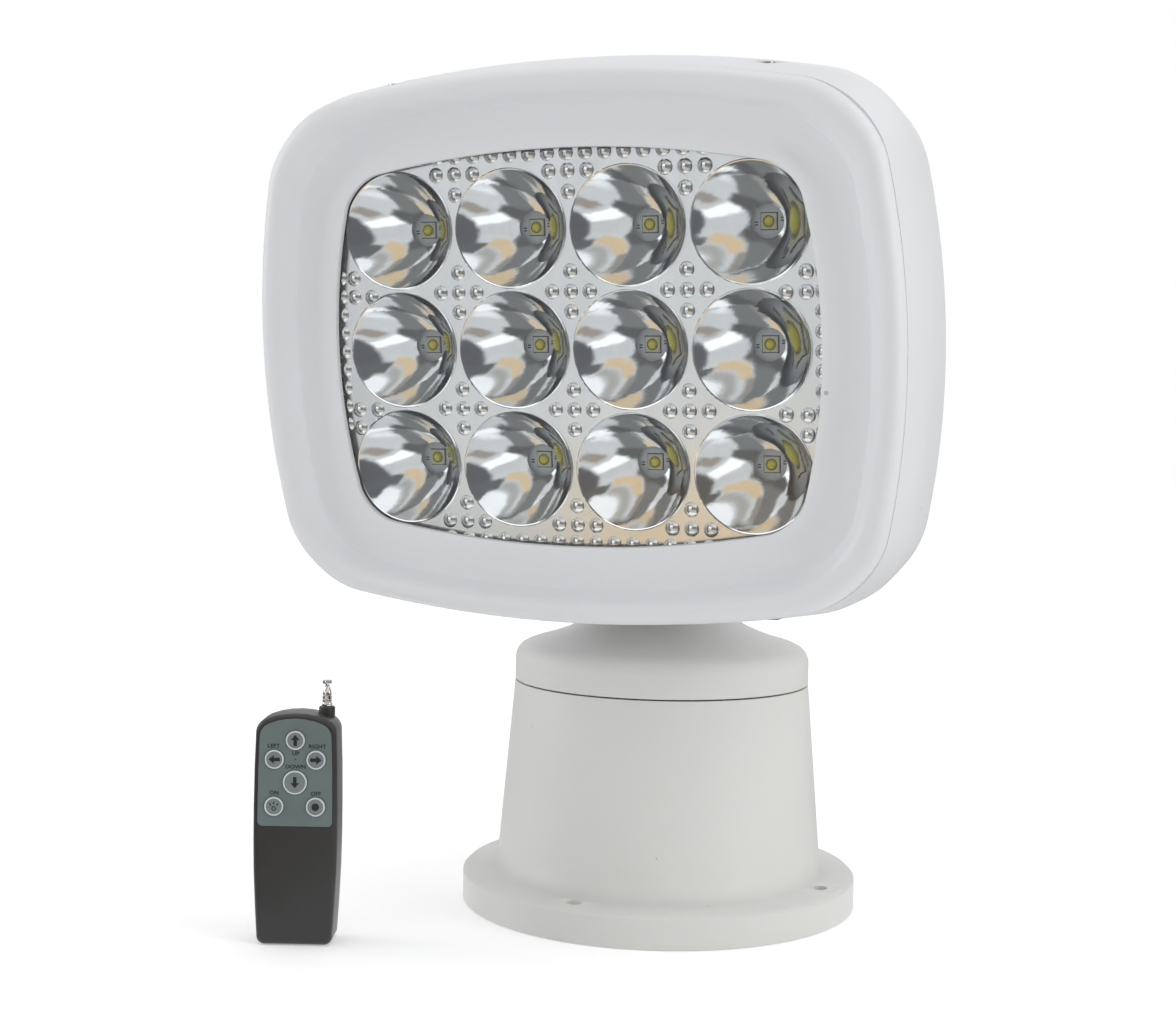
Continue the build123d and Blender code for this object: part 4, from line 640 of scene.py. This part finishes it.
bm = bmesh.new()
cup_radii = [CUP_MOUTH - CUP_STEP * step for step in range(23)]
cup_curve = [(radius, radius ** 2 / CUP_CURVE + CUP_FLOOR) for radius in cup_radii]
turned(bm, [(16.35, -0.02), (16.3, 0.3), (16.05, 0.5), (15.75, 0.42), *cup_curve, (4.8, -17.9), (8.0, -17.6),
            (16.35, -2.5), (16.35, -0.02)], steps=80)
repeat_at(bm, CUPS)
finish_piece("reflector_cups", bm, HEAD, "head", "reflector_metal")

SIDE_STUDS = ((65.3, 20.1), (65.3, 14.9), (59.9, 14.8), (65.5, -17.1), (59.7, -17.0), (65.4, -22.3))
stud_places = []
for across in (-33.0, 0.3, 33.2):
    for row, single in ((47.9, 42.4), (-48.3, -43.0)):
        stud_places += [(across + step * STUD_PITCH, row) for step in (-1, 0, 1)] + [(across, single)]
    for up in (15.8, -16.4):
        stud_places += [(across + step * STUD_PITCH, up) for step in (0, -1, 1)]
        stud_places += [(across, up + step * STUD_PITCH) for step in (1, -1)]
for side in (-1, 1):
    stud_places += [(side * x, y) for x, y in SIDE_STUDS]
    stud_places += [(side * 69.6, step * SIDE_STUD_PITCH - 0.5) for step in range(-4, 5)]
for up in (52.7, -53.2):
    stud_places += [(step * STUD_PITCH, up) for step in range(-8, 9)]

bm = bmesh.new()
bmesh.ops.create_uvsphere(bm, u_segments=20, v_segments=20, radius=STUD_BALL)
bmesh.ops.bisect_plane(
    bm, geom=bm.verts[:] + bm.edges[:] + bm.faces[:], plane_co=(0, 0, STUD_CUT), plane_no=(0, 0, 1),
    clear_inner=True,
)
bmesh.ops.translate(bm, vec=(0, 0, -STUD_SINK), verts=bm.verts)
repeat_at(bm, stud_places)
finish_piece("reflector_studs", bm, HEAD, "head", "stud_metal", crease=60)

# LEDs: package, dome, a dark plate round the package as painted shadow, solder pads, and collar

bm = bmesh.new()
for across, up in CUPS:
    block(bm, (across, up, PACKAGE_MIDDLE), (4.3, 4.3, 0.7))
bmesh.ops.bevel(
    bm, geom=bm.edges[:], offset=0.12, offset_type="OFFSET", segments=2, profile=0.5, affect="EDGES", material=-1,
)
finish_piece("led_packages", bm, HEAD, "head", "led_package", ("leds",))

bm = bmesh.new()
for place in CUPS:
    bmesh.ops.create_uvsphere(bm, u_segments=20, v_segments=12, radius=1.3,
                              matrix=Matrix.Translation((*place, DOME_FOOT)) @ Matrix.Diagonal((1, 1, 0.8, 1)))
finish_piece("led_dome_lenses", bm, HEAD, "head", "led_yellow", ("led_domes",), crease=60)

bm = bmesh.new()
for across, up in CUPS:
    # Dark plate a little wider than the package: painted shadow round its edge; the pads beside it are solder marks
    block(bm, (across, up, PAINTED_SHADOW_FRAME), (4.8, 4.8, 0.08))
    for side in (-1, 1):
        for rise in (0.9, 0.2):
            block(bm, (across + side * 3.6, up + side * rise, SOLDER_PAD), (0.9, 0.35, 0.1))
finish_piece("led_painted_shadow_frames_and_pads", bm, HEAD, "head", "component_dark")

bm = bmesh.new()
turned(bm, [(1.27, -18.95), (1.65, -18.95), (1.65, -18.85), (1.4, -18.78), (1.27, -18.95)], 24)
repeat_at(bm, CUPS)
finish_piece("led_dome_collars", bm, HEAD, "head", "led_collar")

# Handset shells


def hand_ring(bm, inset, depth):
    """Ring of edges in the handset's front view."""
    side = [(10.7, 0), (11.35, 11), (11.8, 21), (11.95, 30), (11.95, 40), (11.8, 51), (11.4, HAND_SHOULDER)]
    dome = [(8.6, 64.6), (5.8, 65.5), (2.9, 66.0), (0, 66.2)]
    half = side + dome
    points = half + [(-x, y) for x, y in reversed(half[:-1])]
    verts, edges = chain(bm, [(x, y, 0) for x, y in points])
    edges.append(bm.edges.new((verts[-1], verts[0])))
    corners = [vert for vert in verts if abs(vert.co.y - HAND_SHOULDER) < 0.1 or vert.co.y < 0.1]
    bmesh.ops.bevel(
        bm, geom=corners, offset=2.1, offset_type="OFFSET", segments=6, profile=0.5, affect="VERTICES", material=-1,
    )
    bmesh.ops.scale(
        bm, vec=((HAND_HALF - inset) / HAND_HALF, (HAND_MIDDLE - inset) / HAND_MIDDLE, 1), verts=bm.verts,
        space=Matrix.Translation((0, -HAND_MIDDLE, 0)),
    )
    bmesh.ops.translate(bm, vec=(0, 0, depth), verts=bm.verts)
    return bm.edges[:]


def hand_steps(insets):
    """Steps for carry_ring, about the handset's middle."""
    return [(HAND_HALF - inset, HAND_MIDDLE - inset, depth) for inset, depth in insets]


def hand_solid(insets):
    """Closed handset shape through (inset, depth) rings."""
    bm = bmesh.new()
    ring = hand_ring(bm, *insets[0])
    bmesh.ops.translate(bm, vec=(0, -HAND_MIDDLE, 0), verts=bm.verts)
    bmesh.ops.edgeloop_fill(bm, edges=ring)
    ring = carry_ring(bm, ring, hand_steps(insets))
    bmesh.ops.edgeloop_fill(bm, edges=ring)
    bmesh.ops.translate(bm, vec=(0, HAND_MIDDLE, 0), verts=bm.verts)
    return bm


# Keys: name, place across and up, radius, turn of the arrow
KEYS = [
    ("up", 0.0, 58.7, 2.8, 0), ("left", -5.9, 53.2, 2.8, 90), ("right", 5.9, 53.2, 2.8, -90),
    ("down", 0.0, 46.7, 3.5, 180), ("on", -5.9, 39.8, 2.8, 0), ("off", 5.9, 39.8, 2.8, 0),
]
front_shell = as_mesh(hand_solid([
    (1.3, 4.95), (1.3, 0.0), (0.0, 0.0), (0.0, 4.7), (0.1, 5.3), (0.4, 5.8), (0.85, 6.12), (1.4, 6.25),
]))


def label_solid(inset, back, front):
    """Flat slab in the label's outline: domed at its top, rounded at its two lower corners."""
    bm = hand_solid([(inset, back), (inset, front)])
    foot = LABEL_FOOT + (inset - LABEL_INSET)
    half = bmesh.ops.bisect_plane(
        bm, geom=bm.verts[:] + bm.edges[:] + bm.faces[:], plane_co=(0, foot, 0), plane_no=(0, 1, 0), clear_inner=True,
    )
    bmesh.ops.edgeloop_fill(bm, edges=shape_edges(half["geom_cut"]))
    low = [edge for edge in bm.edges if all(vert.co.y < foot + 0.2 for vert in edge.verts)]
    upright = [edge for edge in low if abs(edge.verts[0].co.x - edge.verts[1].co.x) < 0.01]
    bmesh.ops.bevel(
        bm, geom=upright, offset=1.3, offset_type="OFFSET", segments=5, profile=0.5, affect="EDGES", material=-1,
    )
    return bm


def key_holes(grow):
    """Rods through the handset's face at every key."""
    bm = bmesh.new()
    for _, across, up, radius, _ in KEYS:
        rod(bm, radius + grow, 4.0, 8.0, (across, up), 48)
    return as_mesh(bm)


bm = cut(front_shell, as_mesh(label_solid(LABEL_INSET, 5.9, 7.0)))
bm = cut(as_mesh(bm), key_holes(0.3))
finish_piece("handset_front_shell", bm, HANDSET, "handset", "black_plastic", ("front_shell",))

bm = cut(as_mesh(label_solid(LABEL_INSET + 0.1, 5.9, LABEL_FACE)), key_holes(0.1))
finish_piece("keypad_overlay", bm, HANDSET, "handset", "grey_label", ("keypad_label",))

back_shell = as_mesh(hand_solid([
    (1.3, -4.95), (1.3, -0.12), (0.12, -0.12), (0.0, -0.25), (0.0, -4.7),
    (0.1, -5.3), (0.4, -5.8), (0.85, -6.12), (1.4, -6.25),
]))
bm = bmesh.new()
block(bm, (0, 19.2, -6.0), (17.9, 19.9, 3.0))
for across, up in ((-7.5, 5.0), (7.5, 5.0), (-7.5, 33.5), (7.5, 33.5)):
    rod(bm, 1.8, -7.0, -5.15, (across, up))
bm = cut(back_shell, as_mesh(bm))
finish_piece("handset_back_shell", bm, HANDSET, "handset", "black_plastic", ("back_shell",))

# Keys with their rings and signs


def arrow_sign(bm, turn, place):
    """Block arrow on a key's face, pointing up before its turn."""
    outline = [(-0.5, -1.6), (0.5, -1.6), (0.5, 0.1), (1.25, 0.1), (0, 1.6), (-1.25, 0.1), (-0.5, 0.1)]
    face = bm.faces.new([bm.verts.new((x, y, KEY_FACE)) for x, y in outline])
    made = bmesh.ops.extrude_face_region(bm, geom=[face])["geom"]
    bmesh.ops.translate(bm, vec=(0, 0, SIGN_FACE - KEY_FACE), verts=shape_verts(made))
    bmesh.ops.rotate(bm, cent=(0, 0, 0), matrix=Matrix.Rotation(radians(turn), 3, "Z"), verts=bm.verts)
    bmesh.ops.translate(bm, vec=(*place, 0), verts=bm.verts)


def lamp_sign(bm, place):
    """Small ring with three rays over it."""
    turned(bm, [(0.42, KEY_FACE), (0.42, SIGN_FACE), (0.72, SIGN_FACE), (0.72, KEY_FACE), (0.42, KEY_FACE)], 6)
    for angle in (-42, 0, 42):
        turn = Matrix.Rotation(radians(-angle), 4, "Z")
        middle = Matrix.Translation((0, 1.55, (KEY_FACE + SIGN_FACE) / 2))
        bmesh.ops.create_cube(bm, size=1, matrix=turn @ middle @ Matrix.Diagonal((0.34, 0.8, 0.03, 1)))
    bmesh.ops.translate(bm, vec=(place[0], place[1] - 0.55, 0), verts=bm.verts)


def dot_sign(bm, place):
    """Solid round spot."""
    rod(bm, 1.1, KEY_FACE, SIGN_FACE, place, 32)


for name, across, up, radius, turn in KEYS:
    body = "key_" + name
    place = (across, up)
    bm = bmesh.new()
    turned(bm, [(0, 1.9), (radius * 0.45, 1.9), (radius * 0.45, 3.85), (radius, 3.85), (radius, 6.45),
                (radius - 0.06, 6.62), (radius - 0.2, 6.74), (radius - 0.42, 6.78), (0, KEY_FACE)], 48)
    bmesh.ops.translate(bm, vec=(across, up, 0), verts=bm.verts)
    finish_piece(body + "_cap", bm, HANDSET, body, "key_face", (body,))
    bm = bmesh.new()
    turned(bm, [(radius - 0.55, 6.76), (radius - 0.5, 6.84), (radius - 0.32, 6.87), (radius - 0.14, KEY_FACE),
                (radius - 0.1, 6.68), (radius - 0.55, 6.76)], 48)
    bmesh.ops.translate(bm, vec=(across, up, 0), verts=bm.verts)
    finish_piece(body + "_ring", bm, HANDSET, body, "white_key", crease=60)
    bm = bmesh.new()
    if name == "on":
        lamp_sign(bm, place)
    elif name == "off":
        dot_sign(bm, place)
    else:
        arrow_sign(bm, turn, place)
    finish_piece(body + "_sign", bm, HANDSET, body, "printed_black")

# Words on the keypad


def add_word(bm, text, size, place):
    """Thin raised word, centred on its place."""
    curve = bpy.data.curves.new("word", "FONT")
    curve.body = text
    curve.size = size
    curve.align_x = "CENTER"
    curve.align_y = "CENTER"
    curve.extrude = 0.015
    curve.offset = 0.035
    curve.resolution_u = 3
    holder = bpy.data.objects.new("word", curve)
    bpy.context.scene.collection.objects.link(holder)
    shown = holder.evaluated_get(bpy.context.evaluated_depsgraph_get())
    before = set(bm.verts)
    bm.from_mesh(shown.to_mesh())
    bpy.data.objects.remove(holder)
    letters = [vert for vert in bm.verts if vert not in before]
    bmesh.ops.scale(bm, vec=(1.1, 1, 1), verts=letters)
    bmesh.ops.translate(bm, vec=(place[0], place[1], 6.265), verts=letters)


WORDS = [
    ("LEFT", -6.2, 56.95), ("RIGHT", 6.2, 56.95), ("UP", 0.1, 54.9),
    ("DOWN", 0.1, 51.1), ("ON", -5.9, 43.6), ("OFF", 5.9, 43.5),
]
bm = bmesh.new()
for text, across, up in WORDS:
    add_word(bm, text, 1.55, (across, up))
rod(bm, 0.2, LABEL_FACE, 6.28, (0.1, 53.2), 16)
finish_piece("keypad_words", bm, HANDSET, "handset", "printed_black", tidy=False)

# Aerial

bm = bmesh.new()
turned(bm, [
    (1.6, 37.0), (2.0, 37.0), (2.0, 64.0), (2.3, 64.0), (2.3, 66.9),
    (2.15, 67.2), (1.9, 67.3), (1.6, 67.3), (1.6, 37.0),
], 40)
finish_piece("aerial_socket", bm, AERIAL, "handset", "black_plastic", ("aerial_tube",))

bm = bmesh.new()
turned(bm, [
    (1.15, 38.0), (1.5, 38.0), (1.5, 67.6), (1.55, 67.75), (1.55, 68.0), (1.45, 68.3), (1.15, 68.3), (1.15, 38.0),
], 40)
finish_piece("aerial_lower_rod", bm, AERIAL, "aerial_lower", "chrome_rod", ("aerial_section",))

bm = bmesh.new()
turned(bm, [
    (0, 39.0), (1.1, 39.0), (1.1, 68.5), (1.36, 68.55), (1.4, 68.8), (1.36, 69.1), (1.2, 69.2), (1.36, 69.35),
    (1.36, 70.3), (1.16, 70.45), (1.3, 70.6), (1.28, 71.2), (1.1, 71.9), (0.8, 72.5), (0.62, 72.9), (0.66, 73.3),
    (0.95, 73.6), (1.35, 73.85), (1.42, 74.2), (1.36, 74.6), (1.0, 74.9), (0, 75.0),
], 40)
finish_piece("aerial_upper_rod", bm, AERIAL, "aerial_upper", "chrome_rod", ("aerial_tip",))

# Finishes on the CAD nodes that stay

shown_finish = {"lens": "clear_lens", "cable_grommet": "black_rubber", "lens_gasket": "grey_silicone"}
for node, piece in nodes.items():
    if piece.hide_render:
        continue
    finish = shown_finish.get(node) or piece.material_slots[0].material.name.split(".")[0]
    for slot in piece.material_slots:
        slot.material = FINISH[finish]

# Studio: pale floor, white surround, soft lamps and the camera

# The floor's glow to the camera grows between two distances, in metres, from one strength to another
GLOW_REACH = (0.15, 1.1)
GLOW_STRENGTH = (0.3, 0.6)
FLOOR_DROP = 0.0002
ROOM_MIDDLE = (0, -0.08, 0.18)
ROOM_TONE = (0.76, 0.78, 0.79, 1)
PLAIN_LEVEL = 0.59
LAMP_AIM = Vector((0, 0, 0.1))


def shine_rays(tree):
    """1 for the rays by which metal and glass see, and 0 for the rest."""
    path = add_node(tree, "ShaderNodeLightPath")
    return maths(tree, "MAXIMUM", path.outputs["Is Glossy Ray"], path.outputs["Is Transmission Ray"])


def studio_floor():
    """Pale floor that takes the shadow, white to the camera and part of the room to metal and glass."""
    bm = bmesh.new()
    bmesh.ops.create_grid(bm, x_segments=1, y_segments=1, size=6)
    mesh = bpy.data.meshes.new("studio_floor")
    bm.to_mesh(mesh)
    bm.free()
    material, tree, shader = empty_material("studio_floor")
    shader.inputs["Base Color"].default_value = (0.94, 0.94, 0.94, 1)
    shader.inputs["Roughness"].default_value = 0.9
    shader.inputs["Emission Color"].default_value = (1, 1, 1, 1)
    place = add_node(tree, "ShaderNodeTexCoord").outputs["Object"]
    length = add_node(tree, "ShaderNodeVectorMath", operation="LENGTH")
    tree.links.new(place, length.inputs[0])
    far = ramp(tree, length.outputs["Value"], *GLOW_REACH, *GLOW_STRENGTH, smooth=True)
    path = add_node(tree, "ShaderNodeLightPath")
    glow = maths(tree, "MULTIPLY", far, path.outputs["Is Camera Ray"])
    tree.links.new(glow, shader.inputs["Emission Strength"])
    from_lamp = add_node(tree, "ShaderNodeVectorMath", operation="SUBTRACT")
    from_lamp.inputs[1].default_value = ROOM_MIDDLE
    tree.links.new(place, from_lamp.inputs[0])
    room = placed_group(tree, STUDIO, {})
    tree.links.new(from_lamp.outputs[0], room.inputs[0])
    seen = add_node(tree, "ShaderNodeEmission")
    tree.links.new(room.outputs[0], seen.inputs["Color"])
    mixed = add_node(tree, "ShaderNodeMixShader")
    tree.links.new(shine_rays(tree), mixed.inputs[0])
    tree.links.new(shader.outputs[0], mixed.inputs[1])
    tree.links.new(seen.outputs[0], mixed.inputs[2])
    tree.links.new(mixed.outputs[0], tree.nodes["Material Output"].inputs["Surface"])
    mesh.materials.append(material)
    floor = bpy.data.objects.new("studio_floor", mesh)
    bpy.context.scene.collection.objects.link(floor)
    floor.location.z = -FLOOR_DROP


def seen_rays(tree, strength):
    """A strength for rays that the camera, metal and glass see by, and 0 for the rest."""
    path = add_node(tree, "ShaderNodeLightPath")
    first = maths(tree, "ADD", path.outputs["Is Camera Ray"], path.outputs["Is Glossy Ray"])
    every = maths(tree, "ADD", first, path.outputs["Is Transmission Ray"], clamp=True)
    return maths(tree, "MULTIPLY", every, strength)


def window(tree, value, low, high, soft):
    """1 between two angles and 0 outside them, with soft edges."""
    rise = ramp(tree, value, low - soft, low + soft, smooth=True)
    fall = ramp(tree, value, high + soft, high - soft, smooth=True)
    return maths(tree, "MULTIPLY", rise, fall)


def studio_room():
    """The room as metal and glass see it: a pale tone with the patches of ROOM laid on it in turn."""
    tree, ends, out = effect_group("studio_room", [("Direction", "Vector", (0, 0, 1))], [("Colour", "Color")])
    unit = add_node(tree, "ShaderNodeVectorMath", operation="NORMALIZE")
    tree.links.new(ends.outputs[0], unit.inputs[0])
    parts = add_node(tree, "ShaderNodeSeparateXYZ")
    tree.links.new(unit.outputs[0], parts.inputs[0])
    around = maths(tree, "DEGREES", maths(tree, "ARCTAN2", parts.outputs["Y"], parts.outputs["X"]))
    height = maths(tree, "DEGREES", maths(tree, "ARCSINE", parts.outputs["Z"]))
    seen = ROOM_TONE
    for left, right, bottom, top, soft, tone in ROOM:
        across = window(tree, around, left, right, soft)
        upright = window(tree, height, bottom, top, soft)
        mask = maths(tree, "MULTIPLY", across, upright)
        seen = mixed_colour(tree, mask, seen, (*tone, 1))
    tree.links.new(seen, out.inputs["Colour"])
    return tree


# Patches of the room, in degrees: from and to round the lamp, from and to in height, soft edge, tone
ROOM = [
    (-200, 200, -95, -50, 3, (1.2, 1.22, 1.25)), (-200, 200, 50, 95, 5, (0.7, 0.7, 0.71)),
    (-200, -152, -40, 14, 6, (0.25, 0.25, 0.26)), (128, 200, -40, 14, 6, (0.25, 0.25, 0.26)),
    (92, 122, -12, 32, 4, (1.1, 1.12, 1.15)), (40, 84, -45, 26, 6, (0.2, 0.2, 0.2)),
    (-150, -126, -60, 34, 3, (0.1, 0.1, 0.11)), (-150, -113, -47, -28, 3, (0.12, 0.125, 0.13)),
    (-116, -96, 24, 45, 4, (0.4, 0.35, 0.3)), (-113, -66, -33, -20, 3, (0.84, 0.64, 0.4)),
    (-66, -36, -27, -17, 4, (0.34, 0.31, 0.27)), (-110, -30, -48, -36, 5, (0.5, 0.49, 0.47)),
    (-92, 35, -18, 14, 3, (0.2, 0.205, 0.205)), (-93, -78, -17, 19, 3, (0.1, 0.1, 0.1)),
    (-34, 35, -45, 35, 6, (0.06, 0.055, 0.05)), (-125, -96, -16, 4, 2, (0.72, 0.73, 0.74)),
    (-125, -95, 3, 18, 2, (1.4, 1.42, 1.45)), (-57, -42, 17, 40, 7, (1.1, 1.13, 1.17)),
]
STUDIO = studio_room()


def surround(lighting):
    """White surround for the camera, the room for metal and glass, and a plain level of light for the rest."""
    world = bpy.data.worlds.new("surround")
    world.use_nodes = True
    tree = world.node_tree
    background = tree.nodes["Background"]
    level = maths(tree, "ADD", seen_rays(tree, 1 - lighting), lighting)
    tree.links.new(level, background.inputs["Strength"])
    room = placed_group(tree, STUDIO, {})
    tree.links.new(add_node(tree, "ShaderNodeTexCoord").outputs["Generated"], room.inputs[0])
    colour = mixed_colour(tree, shine_rays(tree), (1, 1, 1, 1), room.outputs[0])
    tree.links.new(colour, background.inputs["Color"])
    bpy.context.scene.world = world


def soft_lamp(name, place, size, power, colour):
    """Square soft lamp aimed at the spotlight, unseen through the lens, so that the cups do not mirror it."""
    light = bpy.data.lights.new(name, "AREA")
    light.size = size
    light.energy = power
    light.color = colour
    lamp = bpy.data.objects.new(name, light)
    lamp.location = place
    lamp.rotation_euler = (LAMP_AIM - Vector(place)).to_track_quat("-Z", "Y").to_euler()
    lamp.visible_transmission = False
    bpy.context.scene.collection.objects.link(lamp)


studio_floor()
surround(PLAIN_LEVEL)
soft_lamp("right_lamp", (1.3, -0.2, 0.5), 0.7, 3.4, (1, 1, 1))
soft_lamp("high_right_lamp", (1.0, -0.1, 1.1), 0.6, 2.2, (1, 1, 1))
soft_lamp("left_lamp", (-1.3, -0.4, 0.5), 0.7, 4.6, (0.99, 0.995, 1))
soft_lamp("top_lamp", (-0.1, 0.0, 1.6), 0.7, 2.6, (1, 1, 1))

camera_data = bpy.data.cameras.new("camera")
camera_data.sensor_width = 36
camera_data.lens = 54.25
camera_data.clip_start = 0.01
camera = bpy.data.objects.new("camera", camera_data)
camera.matrix_world = Matrix((
    (0.935909, -0.030426, 0.350925, 0.17445),
    (0.351794, 0.030521, -0.935580, -0.53433),
    (0.017756, 0.999071, 0.039268, 0.14603),
    (0, 0, 0, 1),
))
bpy.context.scene.collection.objects.link(camera)
bpy.context.scene.camera = camera
bpy.context.scene.view_settings.view_transform = "Standard"
